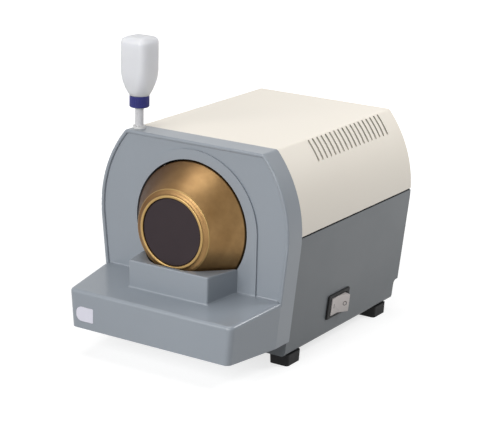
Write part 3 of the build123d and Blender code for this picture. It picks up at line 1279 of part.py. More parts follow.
with BuildPart() as capacitor_clip:
    with BuildSketch(front_plane(CAPACITOR_Y - CLIP_WIDTH / 2)):
        with Locations((CAPACITOR_X, CAPACITOR_Z)):
            Circle(CAPACITOR_RADIUS + CLIP_SHEET)
        with Locations((CAPACITOR_X, BASE_TOP)):
            Rectangle(2 * (CAPACITOR_RADIUS - CAPACITOR_LIFT), 2 * CAPACITOR_LIFT, align=(Align.CENTER, Align.MIN))
            Rectangle(2 * (CAPACITOR_RADIUS + CLIP_TAB), CLIP_SHEET, align=(Align.CENTER, Align.MIN))
        with Locations((CAPACITOR_X, CAPACITOR_Z)):
            Circle(CAPACITOR_RADIUS, mode=Mode.SUBTRACT)
        with Locations((CAPACITOR_X, BASE_TOP)):
            Rectangle(BIG, BIG, align=(Align.CENTER, Align.MAX), mode=Mode.SUBTRACT)
    extrude(amount=-CLIP_WIDTH)
save(capacitor_clip, "capacitor_clip")

with BuildPart() as terminal_block:
    with Locations((TERMINAL_X, TERMINAL_Y, BASE_TOP)):
        Box(TERMINAL_LENGTH, TERMINAL_DEPTH, TERMINAL_TALL / 2, align=ON_BASE)
        Box(TERMINAL_LENGTH, TERMINAL_DEPTH / 2, TERMINAL_TALL, align=ON_BASE)
        with GridLocations(TERMINAL_PITCH, 0, TERMINAL_POLES, 1):
            with Locations((0, 0, TERMINAL_TALL)):
                Cylinder(TERMINAL_BORE, TERMINAL_TALL, mode=Mode.SUBTRACT)
save(terminal_block, "terminal_block")

with BuildPart() as mains_inlet:
    with BuildSketch(front_plane(PANEL_REAR)):
        with Locations((INLET_X, INLET_HEIGHT)):
            RectangleRounded(INLET_FLANGE_WIDTH, INLET_FLANGE_TALL, INLET_CORNER_RADIUS)
    extrude(amount=-INLET_FLANGE)
    with BuildSketch(front_plane(PANEL_REAR)):
        with Locations((INLET_X, INLET_HEIGHT)):
            Rectangle(INLET_WIDTH, INLET_TALL)
    extrude(amount=INLET_DEPTH)
    with BuildSketch(front_plane(PANEL_REAR + INLET_FLANGE)):
        with Locations((INLET_X, INLET_HEIGHT)):
            socket = Rectangle(INLET_SOCKET_WIDTH, INLET_SOCKET_TALL)
            chamfer(socket.vertices().group_by(Axis.Y)[-1], INLET_CHAMFER)
    extrude(amount=INLET_SOCKET_DEPTH, mode=Mode.SUBTRACT)
    with BuildSketch(front_plane(PANEL_REAR + INLET_FLANGE - INLET_SOCKET_DEPTH)):
        with Locations(*INLET_PIN_PLACES):
            Rectangle(*INLET_PIN)
    extrude(amount=INLET_PIN_ROOT, mode=Mode.SUBTRACT)
    for x, z in INLET_SCREW_PLACES:
        with Locations(Location((x, PANEL_REAR, z), (90, 0, 0))):
            Cylinder(SCREW_RADIUS, 4 * (INLET_FLANGE + SHEET), mode=Mode.SUBTRACT)
save(mains_inlet, "mains_inlet")

with BuildPart() as inlet_pins:
    with BuildSketch(front_plane(PANEL_REAR + INLET_FLANGE - INLET_SOCKET_DEPTH + INLET_PIN_LENGTH)):
        with Locations(*INLET_PIN_PLACES):
            Rectangle(*INLET_PIN)
    extrude(amount=INLET_PIN_LENGTH + INLET_PIN_ROOT)
save(inlet_pins, "inlet_pins")

with BuildPart() as inlet_screws:
    for x, z in INLET_SCREW_PLACES:
        with Locations(Location((x, PANEL_REAR + INLET_FLANGE, z), (90, 0, 0))):
            Cylinder(SCREW_RADIUS, INLET_FLANGE + 2 * SHEET, align=ON_BASE)
            Cylinder(INLET_HEAD_RADIUS, INLET_HEAD_HEIGHT, align=UNDER_TOP)
save(inlet_screws, "inlet_screws")

# --- Rocker switch: local x runs to the rear, local y up along the side, local z outward ------------
with BuildPart() as switch_frame:
    with BuildSketch(SWITCH_PLANE):
        RectangleRounded(BEZEL_LENGTH, BEZEL_TALL, BEZEL_CORNER_RADIUS)
    extrude(amount=BEZEL_THICKNESS)
    outer_rim = switch_frame.faces().sort_by(Axis(SWITCH_PLANE.origin, SWITCH_PLANE.z_dir))[-1].edges()
    fillet(outer_rim, BEZEL_THICKNESS / 2)
    with BuildSketch(SWITCH_PLANE):
        Rectangle(SWITCH_BODY_LENGTH, SWITCH_BODY_TALL)
    extrude(amount=-SWITCH_BODY_DEPTH)
    with BuildSketch(SWITCH_PLANE.offset(BEZEL_THICKNESS + 1)):
        Rectangle(2 * ROCKER_REACH + 3 * ROCKER_GAP, ROCKER_TALL + 2 * ROCKER_GAP)
    extrude(amount=-(SWITCH_BODY_DEPTH + BEZEL_THICKNESS - 1), mode=Mode.SUBTRACT)
    with BuildSketch(SWITCH_PIVOT_PLANE):
        Circle(PIVOT_RADIUS)
    extrude(amount=PIVOT_LENGTH / 2, both=True, mode=Mode.SUBTRACT)
save(switch_frame, "switch_frame")

with BuildPart() as switch_pivot:
    with BuildSketch(SWITCH_PIVOT_PLANE):
        Circle(PIVOT_RADIUS)
    extrude(amount=PIVOT_LENGTH / 2, both=True)
save(switch_pivot, "switch_pivot")

with BuildPart() as switch_rocker:
    with BuildSketch(SWITCH_PIVOT_PLANE):
        with BuildLine():
            Polyline(*[rocked(u, w) for u, w in ROCKER_PROFILE], close=True)
        make_face()
        Circle(PIVOT_RADIUS + RUNNING_FIT, mode=Mode.SUBTRACT)
    extrude(amount=ROCKER_TALL / 2, both=True)
save(switch_rocker, "switch_rocker")


# --- Water bottle ----------------------------------------------------------------------------------
def about_bottle(points):
    """Solid of revolution about the bottle's upright axis from (radius, height) points."""
    with BuildPart() as piece:
        with BuildSketch(Plane.XZ):
            with BuildLine():
                Polyline(*points, close=True)
            make_face()
        revolve(axis=Axis.Z)
    return piece.part.moved(Location((BOTTLE_X, BOTTLE_Y, 0)))


with BuildPart() as bottle_socket:
    add(
        about_bottle(
            [
                (STEM_RADIUS + RUNNING_FIT, ROOF_HEIGHT + COLLAR_HEIGHT),
                (COLLAR_RADIUS, ROOF_HEIGHT + COLLAR_HEIGHT),
                (COLLAR_RADIUS, ROOF_HEIGHT),
                (SOCKET_RADIUS, ROOF_HEIGHT),
                (SOCKET_RADIUS, SOCKET_BOTTOM),
                (0, SOCKET_BOTTOM),
                (0, SOCKET_BOTTOM + SOCKET_FLOOR),
                (SOCKET_FLOOR, SOCKET_BOTTOM + SOCKET_FLOOR),
                (SOCKET_FLOOR, STEM_BOTTOM),
                (STEM_RADIUS + RUNNING_FIT, STEM_BOTTOM),
            ]
        )
    )
    with Locations(Location((BOTTLE_X + STEM_RADIUS, BOTTLE_Y, SPOUT_Z), (0, 90, 0))):
        Cylinder(NOZZLE_RADIUS, SPOUT_END - BOTTLE_X - STEM_RADIUS, align=ON_BASE)
    with Locations(Location((BOTTLE_X, BOTTLE_Y, SPOUT_Z), (0, 90, 0))):
        Cylinder(WATER_BORE, BIG / 4, align=ON_BASE, mode=Mode.SUBTRACT)
save(bottle_socket, "bottle_socket")

with BuildPart() as drip_hose:
    with BuildLine() as hose_path:
        FilletPolyline(
            (SPOUT_END - HOSE_GRIP, BOTTLE_Y, SPOUT_Z),
            (NOZZLE_X, BOTTLE_Y, SPOUT_Z),
            (NOZZLE_X, BOTTLE_Y, NOZZLE_TOP - HOSE_GRIP),
            radius=HOSE_BEND,
        )
    with BuildSketch(Plane(origin=hose_path.line @ 0, z_dir=hose_path.line % 0)):
        Circle(HOSE_RADIUS)
        Circle(NOZZLE_RADIUS + RUNNING_FIT, mode=Mode.SUBTRACT)
    sweep()
save(drip_hose, "drip_hose")

with BuildPart() as drip_nozzle:
    with Locations((NOZZLE_X, BOTTLE_Y, NOZZLE_TOP)):
        Cylinder(NOZZLE_RADIUS, NOZZLE_TOP - NOZZLE_BOTTOM, align=UNDER_TOP)
        Cylinder(WATER_BORE, BIG / 4, mode=Mode.SUBTRACT)
save(drip_nozzle, "drip_nozzle")

with BuildPart() as bottle_stem:
    add(
        about_bottle(
            [
                (STEM_RADIUS - STEM_WALL, STEM_BOTTOM),
                (STEM_RADIUS, STEM_BOTTOM),
                (STEM_RADIUS, CAP_BOTTOM + CAP_FLOOR),
                (STEM_RADIUS - STEM_WALL, CAP_BOTTOM + CAP_FLOOR),
            ]
        )
    )
save(bottle_stem, "bottle_stem")

with BuildPart() as bottle_cap:
    add(
        about_bottle(
            [
                (STEM_RADIUS, CAP_BOTTOM),
                (CAP_RADIUS - CAP_CHAMFER, CAP_BOTTOM),
                (CAP_RADIUS, CAP_BOTTOM + CAP_CHAMFER),
                (CAP_RADIUS, CAP_TOP),
                (NECK_RADIUS + THREAD_CLEARANCE, CAP_TOP),
                (NECK_RADIUS + THREAD_CLEARANCE, CAP_BOTTOM + CAP_FLOOR),
                (STEM_RADIUS, CAP_BOTTOM + CAP_FLOOR),
            ]
        )
    )
    with Locations((BOTTLE_X, BOTTLE_Y, CAP_BOTTOM)):
        with PolarLocations(CAP_RADIUS - CAP_GROOVE_DEPTH + CAP_GROOVE_RADIUS, CAP_RIBS):
            Cylinder(
                CAP_GROOVE_RADIUS,
                CAP_HEIGHT - CAP_RIM,
                align=ON_BASE,
                mode=Mode.SUBTRACT,
            )
save(bottle_cap, "bottle_cap")

with BuildPart() as bottle_seal:
    add(
        about_bottle(
            [
                (STEM_RADIUS - STEM_WALL, CAP_BOTTOM + CAP_FLOOR),
                (NECK_RADIUS, CAP_BOTTOM + CAP_FLOOR),
                (NECK_RADIUS, NECK_BOTTOM),
                (STEM_RADIUS - STEM_WALL, NECK_BOTTOM),
            ]
        )
    )
save(bottle_seal, "bottle_seal")


def bottle_form(inset):
    """Bottle with rounded-square sides on a round neck, `inset` inside the outside."""
    neck_low = NECK_BOTTOM - inset
    base = CAP_TOP + inset
    side_low, side_width, side_corner = BOTTLE_SECTIONS[-1]
    side_width -= 2 * inset
    with BuildPart() as form:
        for rise, width, corner in BOTTLE_SECTIONS:
            with BuildSketch(Plane.XY.offset(base + rise)):
                RectangleRounded(width - 2 * inset, width - 2 * inset, corner - inset)
        loft()
        with BuildSketch(Plane.XY.offset(base + side_low)):
            RectangleRounded(side_width, side_width, side_corner - inset)
        extrude(amount=BOTTLE_TOP - inset - base - side_low)
        fillet(form.edges().group_by(Axis.Z)[-1], BOTTLE_END_RADIUS - inset)
        with Locations((0, 0, neck_low)):
            Cylinder(
                NECK_RADIUS - inset,
                base + BOTTLE_SECTIONS[0][0] + 1 - neck_low,
                align=ON_BASE,
            )
    return form.part


with BuildPart() as water_bottle:
    add(bottle_form(0))
    add(bottle_form(BOTTLE_WALL), mode=Mode.SUBTRACT)
water_bottle.part = water_bottle.part.moved(Location((BOTTLE_X, BOTTLE_Y, 0)))
save(water_bottle, "water_bottle")
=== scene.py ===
import json
import math

import bmesh
import bpy
from bpy.props import FloatProperty, FloatVectorProperty, IntProperty, PointerProperty, StringProperty
from mathutils import Matrix, Vector


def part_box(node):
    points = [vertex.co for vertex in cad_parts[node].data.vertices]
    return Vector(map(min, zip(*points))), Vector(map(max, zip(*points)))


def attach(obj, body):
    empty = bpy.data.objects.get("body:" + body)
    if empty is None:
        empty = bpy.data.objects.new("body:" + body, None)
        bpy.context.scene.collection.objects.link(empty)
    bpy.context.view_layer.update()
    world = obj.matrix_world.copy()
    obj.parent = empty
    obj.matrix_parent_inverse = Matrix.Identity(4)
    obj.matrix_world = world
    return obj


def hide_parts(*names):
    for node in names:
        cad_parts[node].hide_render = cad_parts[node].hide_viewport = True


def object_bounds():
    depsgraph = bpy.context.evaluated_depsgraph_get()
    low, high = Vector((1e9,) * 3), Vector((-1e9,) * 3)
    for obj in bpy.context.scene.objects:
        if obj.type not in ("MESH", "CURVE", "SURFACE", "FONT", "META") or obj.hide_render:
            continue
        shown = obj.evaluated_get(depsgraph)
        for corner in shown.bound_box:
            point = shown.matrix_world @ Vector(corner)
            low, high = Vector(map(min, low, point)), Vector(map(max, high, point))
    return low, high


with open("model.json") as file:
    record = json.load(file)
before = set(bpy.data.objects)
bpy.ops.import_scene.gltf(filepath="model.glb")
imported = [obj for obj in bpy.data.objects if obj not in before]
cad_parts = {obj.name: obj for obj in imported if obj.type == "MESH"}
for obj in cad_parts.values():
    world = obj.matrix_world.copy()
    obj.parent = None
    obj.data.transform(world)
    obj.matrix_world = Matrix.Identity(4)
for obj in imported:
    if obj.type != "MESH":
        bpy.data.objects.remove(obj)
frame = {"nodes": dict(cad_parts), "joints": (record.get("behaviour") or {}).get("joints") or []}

bl_info = {
    "name": "Lens Edger Finisher",
    "version": (1, 0, 0),
    "blender": (4, 5, 0),
    "location": "3D View > Sidebar > Lens Edger",
    "description": "Gives a bench-top lens edger its finishes, its small fittings and its studio",
    "category": "Object",
}

CAD_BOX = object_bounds()
JOINTS = {joint["name"]: joint for joint in frame["joints"]}
MM = 0.001
HAIR = 0.01 * MM  # keeps two rounded corners from meeting in a point; also how near counts as level
# the wheel's joint stands level with the fascia's front face
FASCIA = JOINTS["spindle_spin"]["pos_m"][1]
TRAY_FRONT = CAD_BOX[0][1]
# ring from its inner front edge, outward and to the back: millimetres behind the lip's front, radius
RING_STATIONS = [
    (9.0, 38.0), (1.5, 38.0), (0.7, 38.1), (0.2, 38.45), (0.0, 38.9), (0.0, 40.3), (0.1, 40.75), (0.35, 41.1),
    (0.7, 41.22), (1.1, 41.3), (1.7, 41.9), (2.2, 42.9), (2.55, 44.1), (2.75, 45.2), (2.95, 46.0), (3.3, 46.5),
    (3.55, 46.95), (3.75, 47.3), (4.05, 47.55), (4.35, 47.6), (4.65, 47.5), (4.95, 47.45), (5.4, 47.8), (6.0, 48.5),
    (14.0, 54.2), (25.0, 62.1), (33.0, 67.85), (36.0, 70.0), (36.5, 70.4), (37.0, 70.75), (37.6, 70.95),
    (38.2, 71.0), (50.6, 71.0), (51.0, 70.6), (51.0, 65.0), (39.0, 65.0), (9.0, 41.6),
]


# --- Colours, nodes and materials -------------------------------------------------------------------
def linear(colour):
    """Turns an sRGB hex colour into the linear colour that a shader socket takes."""
    channels = [int(colour[place:place + 2], 16) / 255 for place in (1, 3, 5)]
    return [c / 12.92 if c <= 0.04045 else ((c + 0.055) / 1.055) ** 2.4 for c in channels] + [1.0]


def add(tree, kind, joins=None, **settings):
    """Adds one shader node, sets its fields, and fills its sockets with values or links."""
    made = tree.nodes.new("ShaderNode" + kind)
    for field, value in settings.items():
        setattr(made, field, value)
    for socket, value in (joins or {}).items():
        if isinstance(value, bpy.types.NodeSocket):
            tree.links.new(value, made.inputs[socket])
        else:
            made.inputs[socket].default_value = value
    return made


def new_material(name):
    """Starts a material: its tree, its empty shader and its object coordinates."""
    made = bpy.data.materials.new(name)
    made.use_nodes = True
    tree = made.node_tree
    tree.nodes.clear()
    place = add(tree, "TexCoord").outputs["Object"]
    shader = add(tree, "BsdfPrincipled")
    add(tree, "OutputMaterial", {"Surface": shader.outputs[0]})
    return made, tree, shader, place


def finish(name, light, dark, patch_mm, grain_mm, depth_mm, rough, rough_swing=0.06, **sockets):
    """A finish of two near colours in soft patches, with a grain in its relief and its gloss.

    The patches and the grain have real sizes in millimetres. Sockets that are the same all
    over are set on the shader itself.
    """
    made, tree, shader, place = new_material(name)
    patches = add(tree, "TexNoise", {"Vector": place, "Scale": 1 / (patch_mm * MM), "Detail": 3.0})
    tone = add(tree, "Mix", {0: patches.outputs["Fac"], 6: linear(dark), 7: linear(light)}, data_type="RGBA")
    grain = add(tree, "TexNoise", {"Vector": place, "Scale": 1 / (grain_mm * MM), "Detail": 2.0})
    relief = add(
        tree, "Bump", {"Height": grain.outputs["Fac"], "Strength": 0.6, "Distance": depth_mm * MM}
    )
    gloss = add(
        tree,
        "MapRange",
        {0: patches.outputs["Fac"], 1: 0.3, 2: 0.7, 3: rough - rough_swing, 4: rough + rough_swing},
    )
    tree.links.new(tone.outputs[2], shader.inputs["Base Color"])
    tree.links.new(relief.outputs[0], shader.inputs["Normal"])
    tree.links.new(gloss.outputs[0], shader.inputs["Roughness"])
    for socket, value in sockets.items():
        shader.inputs[socket.replace("_", " ")].default_value = value
    return made


def waves(pitch):
    """The wave texture's Scale that repeats it once in a length given in metres."""
    return 2 * math.pi / (20 * pitch)


def bronze_bond(name, settings):
    """""Sintered bronze, turned on a lathe and darkened by water: fine turning rings spread its
    highlight towards the rim, and brown patches lie over the tan metal. Painted shade darkens the
    wheel's upper left side, and painted highlight lines over real rubbing brighten the lip's front
    and the ridge."""
    made, tree, shader, place = new_material(name)
    low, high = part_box("grinding_ring")
    centre = add(
        tree,
        "Mapping",
        {"Vector": place, "Location": (0.0, -low.y, -(low.z + high.z) / 2)},
    )
    broad = add(
        tree,
        "TexNoise",
        {"Vector": centre.outputs[0], "Scale": 1 / settings.patch_size, "Detail": 3.0, "Roughness": 0.5},
    )
    small = add(tree, "TexNoise", {"Vector": centre.outputs[0], "Scale": 1 / settings.fleck_size, "Detail": 5.0})
    turning = add(
        tree,
        "TexWave",
        {"Vector": centre.outputs[0], "Scale": waves(settings.groove_pitch), "Distortion": 0.4},
        wave_type="RINGS",
        rings_direction="Y",
    )
    patch = add(tree, "MapRange", {0: broad.outputs["Fac"], 1: 0.3, 2: 0.7, 3: 0.0, 4: 1.0})
    fleck = add(tree, "MapRange", {0: small.outputs["Fac"], 1: 0.4, 2: 0.75, 3: 0.0, 4: 0.22})
    tone = add(
        tree,
        "Mix",
        {0: patch.outputs[0], 6: list(settings.bronze_dark) + [1.0], 7: list(settings.bronze_light) + [1.0]},
        data_type="RGBA",
    )
    flecked = add(
        tree, "Mix", {0: fleck.outputs[0], 6: tone.outputs[2], 7: linear("#5C4227")}, data_type="RGBA"
    )
    # painted shade: the wheel's upper left side is darkened towards a deep brown, more so towards its rim, in place
    # of the dark reflection that side shows
    toward_shaded_side = add(tree, "VectorMath", {0: centre.outputs[0], 1: (-0.9, 0.0, 0.35)}, operation="DOT_PRODUCT")
    painted_shade_sector = add(tree, "MapRange", {0: toward_shaded_side.outputs["Value"], 1: 0.0, 2: 55 * MM, 3: 0.0, 4: 0.85})
    patina_and_painted_shade = add(
        tree, "Mix", {0: painted_shade_sector.outputs[0], 6: flecked.outputs[2], 7: linear("#5A3D23")}, data_type="RGBA"
    )
    # the lip's front and the ridge are paler, partly rubbed bright and partly painted highlight lines: millimetres
    # behind the lip's front, brightness
    depth = add(tree, "SeparateXYZ", {0: centre.outputs[0]})
    reach = add(tree, "MapRange", {0: depth.outputs["Y"], 1: 0.0, 2: 10 * MM, 3: 0.0, 4: 1.0})
    highlight_and_wear_ring = add(tree, "ValToRGB", {0: reach.outputs[0]})
    stops = highlight_and_wear_ring.color_ramp.elements
    stops[0].position, stops[0].color = 0.0, (1, 1, 1, 1)
    stops[1].position, stops[1].color = 1.0, (0, 0, 0, 1)
    for behind, bright in ((0.45, 1), (0.9, 0), (3.3, 0), (3.8, 1), (4.8, 1), (5.4, 0)):
        stops.new(behind / 10).color = (bright, bright, bright, 1)
    # pale bronze on the lip's front and the ridge: real rubbing with a painted highlight over it
    worn_and_painted_highlight = add(
        tree, "Mix", {0: highlight_and_wear_ring.outputs["Color"], 6: patina_and_painted_shade.outputs[2], 7: linear("#A48756")}, data_type="RGBA"
    )
    relief = add(
        tree, "Bump", {"Height": turning.outputs["Fac"], "Strength": 0.5, "Distance": 0.05 * MM}
    )
    gloss = add(tree, "MapRange", {0: broad.outputs["Fac"], 1: 0.3, 2: 0.7, 3: 0.44, 4: 0.36})
    tree.links.new(worn_and_painted_highlight.outputs[2], shader.inputs["Base Color"])
    tree.links.new(relief.outputs[0], shader.inputs["Normal"])
    tree.links.new(gloss.outputs[0], shader.inputs["Roughness"])
    shader.inputs["Metallic"].default_value = 0.82
    return made


def seen_directly(tree):
    """1 where the camera, a reflection or a see-through piece looks at the surface, and 0 elsewhere."""
    ray = add(tree, "LightPath")
    either = add(
        tree, "Math", {0: ray.outputs["Is Camera Ray"], 1: ray.outputs["Is Glossy Ray"]}, operation="MAXIMUM"
    )
    return add(
        tree, "Math", {0: either.outputs[0], 1: ray.outputs["Is Transmission Ray"]}, operation="MAXIMUM"
    ).outputs[0]


def polyethylene(name, settings):
    """Natural low-density polyethylene, blow-moulded: milky, so light goes into the wall and
    comes out softly, with a faint cloudiness and a satin skin."""
    made, tree, shader, place = new_material(name)
    cloud = add(tree, "TexNoise", {"Vector": place, "Scale": 1 / (22.222 * MM), "Detail": 2.0})
    tone = add(
        tree,
        "Mix",
        {0: cloud.outputs["Fac"], 6: linear("#D6D7DB"), 7: list(settings.milk_colour) + [1.0]},
        data_type="RGBA",
    )
    ripple = add(tree, "TexNoise", {"Vector": place, "Scale": 1 / (7.692 * MM), "Detail": 1.0})
    relief = add(tree, "Bump", {"Height": ripple.outputs["Fac"], "Strength": 0.4, "Distance": 0.15 * MM})
    tree.links.new(tone.outputs[2], shader.inputs["Base Color"])
    tree.links.new(relief.outputs[0], shader.inputs["Normal"])
    shader.inputs["Roughness"].default_value = 0.38
    shader.inputs["Subsurface Weight"].default_value = 1.0
    shader.inputs["Subsurface Radius"].default_value = (1.0, 1.0, 1.05)
    shader.inputs["Subsurface Scale"].default_value = 16 * MM
    shader.inputs["IOR"].default_value = 1.51
    return made


def stacked_steel(name):
    """Electrical steel punched in thin sheets and stacked: fine lines along the stack, drawn
    three times as coarse as half-millimetre sheets, so that they show."""
    made, tree, shader, place = new_material(name)
    sheets = add(
        tree,
        "TexWave",
        {"Vector": place, "Scale": waves(1.5 * MM)},
        wave_type="BANDS",
        bands_direction="Y",
    )
    tone = add(
        tree, "Mix", {0: sheets.outputs["Fac"], 6: linear("#4A4C50"), 7: linear("#8B8D90")}, data_type="RGBA"
    )
    relief = add(tree, "Bump", {"Height": sheets.outputs["Fac"], "Strength": 0.6, "Distance": 0.2 * MM})
    tree.links.new(tone.outputs[2], shader.inputs["Base Color"])
    tree.links.new(relief.outputs[0], shader.inputs["Normal"])
    shader.inputs["Metallic"].default_value = 1.0
    shader.inputs["Roughness"].default_value = 0.5
    return made


# --- Modelling ---------------------------------------------------------------------------------------
def deselect():
    """Leaves no object selected."""
    bpy.ops.object.select_all(action="DESELECT")


def choose(piece):
    """Makes one object the only selected and the active one."""
    deselect()
    piece.select_set(True)
    bpy.context.view_layer.objects.active = piece


def pick(piece, kind, test):
    """In edit mode, selects the faces, edges or vertices that a test accepts, and no others."""
    bpy.ops.mesh.select_all(action="DESELECT")
    shape = bmesh.from_edit_mesh(piece.data)
    bpy.context.tool_settings.mesh_select_mode = (kind == "verts", kind == "edges", kind == "faces")
    for part in getattr(shape, kind):
        part.select_set(bool(test(part)))
    shape.select_flush_mode()
    bmesh.update_edit_mesh(piece.data)


def apply_all(piece):
    """Applies a piece's place and its modifiers, so that its object sits at the origin."""
    choose(piece)
    bpy.ops.object.transform_apply(location=True, rotation=True, scale=True)
    for modifier in list(piece.modifiers):
        bpy.ops.object.modifier_apply(modifier=modifier.name)


def settle(piece, name, body, material, stands_for=(), crease=35):
    """Names a finished piece, gives it its material and its edges, and fixes it to its body."""
    apply_all(piece)
    piece.name = name
    piece.data.name = name
    piece.data.materials.clear()
    piece.data.materials.append(material)
    bpy.ops.object.shade_smooth_by_angle(angle=math.radians(crease))
    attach(piece, body)
    if stands_for:
        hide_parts(*stands_for)


def softened(node, radius, segments=3, angle=30):
    """A merged copy of a CAD node with its sharp edges rounded, as moulding or deburring leaves them."""
    piece = bpy.data.objects.new(node + "_soft", frame["nodes"][node].data.copy())
    bpy.context.scene.collection.objects.link(piece)
    choose(piece)
    bpy.ops.mesh.customdata_custom_splitnormals_clear()
    bpy.ops.object.mode_set(mode="EDIT")
    bpy.ops.mesh.select_all(action="SELECT")
    bpy.ops.mesh.remove_doubles(threshold=1e-6)
    bpy.ops.mesh.dissolve_limited(angle_limit=math.radians(0.5))
    bpy.ops.object.mode_set(mode="OBJECT")
    bevel = piece.modifiers.new("round", "BEVEL")
    bevel.width = radius
    bevel.segments = segments
    bevel.limit_method = "ANGLE"
    bevel.angle_limit = math.radians(angle)
    bevel.harden_normals = False
    return piece


def turned(stations, centre, steps):
    """A turned ring about a line along Y: a circle is extruded from station to station, each
    (y, radius) in metres, and the last one is joined to the first."""
    deselect()
    first_y, first_radius = stations[0]
    bpy.ops.mesh.primitive_circle_add(
        vertices=steps,
        radius=first_radius,
        location=(centre[0], first_y, centre[1]),
        rotation=(math.radians(90), 0, 0),
    )
    piece = bpy.context.object
    bpy.ops.object.transform_apply(location=True, rotation=True, scale=True)
    bpy.ops.object.mode_set(mode="EDIT")
    bpy.ops.mesh.select_all(action="SELECT")
    y, radius = first_y, first_radius
    for next_y, next_radius in stations[1:]:
        bpy.ops.mesh.extrude_region_move(TRANSFORM_OT_translate={"value": (0, next_y - y, 0)})
        bpy.ops.transform.resize(
            value=(next_radius / radius, 1, next_radius / radius),
            center_override=(centre[0], next_y, centre[1]),
        )
        y, radius = next_y, next_radius
    pick(piece, "edges", lambda edge: edge.is_boundary)
    bpy.ops.mesh.bridge_edge_loops()
    bpy.ops.mesh.select_all(action="SELECT")
    bpy.ops.mesh.normals_make_consistent(inside=False)
    bpy.ops.object.mode_set(mode="OBJECT")
    return piece


def lofted(sections, centre):
    """A closed skin through rounded squares, lowest first, each (height, width, corner radius)."""
    rings = []
    for height, width, corner in sections:
        deselect()
        bpy.ops.mesh.primitive_plane_add(size=width, location=(centre[0], centre[1], height))
        rings.append(bpy.context.object)
        bpy.ops.object.transform_apply(location=True, rotation=True, scale=True)
        bpy.ops.object.mode_set(mode="EDIT")
        bpy.ops.mesh.select_all(action="SELECT")
        bpy.ops.mesh.bevel(offset=corner, affect="VERTICES", segments=8)
        bpy.ops.mesh.select_all(action="SELECT")
        bpy.ops.mesh.delete(type="ONLY_FACE")
        bpy.ops.object.mode_set(mode="OBJECT")
    choose(rings[0])
    for ring in rings:
        ring.select_set(True)
    bpy.ops.object.join()
    piece = bpy.context.object
    bpy.ops.object.mode_set(mode="EDIT")
    pick(piece, "edges", lambda edge: True)
    bpy.ops.mesh.bridge_edge_loops()
    pick(piece, "edges", lambda edge: edge.is_boundary)
    bpy.ops.mesh.fill_holes(sides=0)
    bpy.ops.mesh.select_all(action="SELECT")
    bpy.ops.mesh.normals_make_consistent(inside=False)
    bpy.ops.object.mode_set(mode="OBJECT")
    return piece


def block(low, high):
    """A closed box between two corners, in metres."""
    deselect()
    bpy.ops.mesh.primitive_cube_add(size=1, location=[(a + b) / 2 for a, b in zip(low, high)])
    piece = bpy.context.object
    piece.scale = [b - a for a, b in zip(low, high)]
    choose(piece)
    bpy.ops.object.transform_apply(location=True, rotation=True, scale=True)
    return piece


def round_edges(piece, test, radius, segments, profile=0.5):
    """Rounds the edges that a test accepts; a low profile makes them hollow."""
    choose(piece)
    bpy.ops.object.mode_set(mode="EDIT")
    pick(piece, "edges", test)
    bpy.ops.mesh.bevel(offset=radius, segments=segments, profile=profile, clamp_overlap=True)
    bpy.ops.object.mode_set(mode="OBJECT")


def along(edge, axis):
    """Tells whether an edge runs along one axis."""
    run = edge.verts[1].co - edge.verts[0].co
    return abs(run[axis]) > 0.99 * run.length


def dress(nodes, material):
    """Gives CAD nodes that keep their shape a finish."""
    for node in nodes:
        slots = frame["nodes"][node].data.materials
        slots.clear()
        slots.append(material)


# --- Sizes and colours that a user would change ------------------------------------------------------
class EdgerHousing(bpy.types.PropertyGroup):
    front_light: StringProperty(name="Moulding", description="Front moulding colour, sRGB", default="#8A9199")
    front_dark: StringProperty(name="Moulding patches", description="Its darker tone, sRGB", default="#868D95")


class EdgerWheel(bpy.types.PropertyGroup):
    bronze_light: FloatVectorProperty(
        name="Bronze", description="Clean turned bronze", default=linear("#9B7C52")[:3], subtype="COLOR",
        min=0, max=1,
    )
    bronze_dark: FloatVectorProperty(
        name="Patina", description="Bronze darkened by water", default=linear("#795B35")[:3], subtype="COLOR",
        min=0, max=1,
    )
    groove_pitch: FloatProperty(
        name="Turning pitch", description="Distance between turning rings, drawn wide enough to show",
        default=0.9 * MM, unit="LENGTH", subtype="DISTANCE",
    )
    patch_size: FloatProperty(
        name="Patches", description="Width of the brown patches", default=62.5 * MM, unit="LENGTH",
        subtype="DISTANCE",
    )
    fleck_size: FloatProperty(
        name="Flecks", description="Width of the small flecks", default=8.3333 * MM, unit="LENGTH",
        subtype="DISTANCE",
    )
    steps: IntProperty(name="Steps", description="Facets round the wheel", default=192, min=32, max=512)


class EdgerSwitch(bpy.types.PropertyGroup):
    edge_radius: FloatProperty(
        name="Rocker edge", description="Rounding of the rocker's edges", default=0.5 * MM, unit="LENGTH",
        subtype="DISTANCE",
    )
    pressed_face: FloatProperty(
        name="Pressed face", description="Distance from the pivot's middle out to the half that is pressed in",
        default=9.0 * MM, unit="LENGTH", subtype="DISTANCE",
    )
    on_reach: FloatProperty(
        name="On mark", description="Mark's middle from the rocker's middle, along its length",
        default=9.3 * MM, unit="LENGTH", subtype="DISTANCE",
    )
    off_reach: FloatProperty(
        name="Off mark", description="Mark's middle from the rocker's middle, along its length",
        default=8.7 * MM, unit="LENGTH", subtype="DISTANCE",
    )
    mark_height: FloatProperty(
        name="Mark height", description="Height of the on mark's bar", default=5.4 * MM, unit="LENGTH",
        subtype="DISTANCE",
    )
    mark_line: FloatProperty(
        name="Mark line", description="Width of the on mark's bar", default=0.9 * MM, unit="LENGTH",
        subtype="DISTANCE",
    )


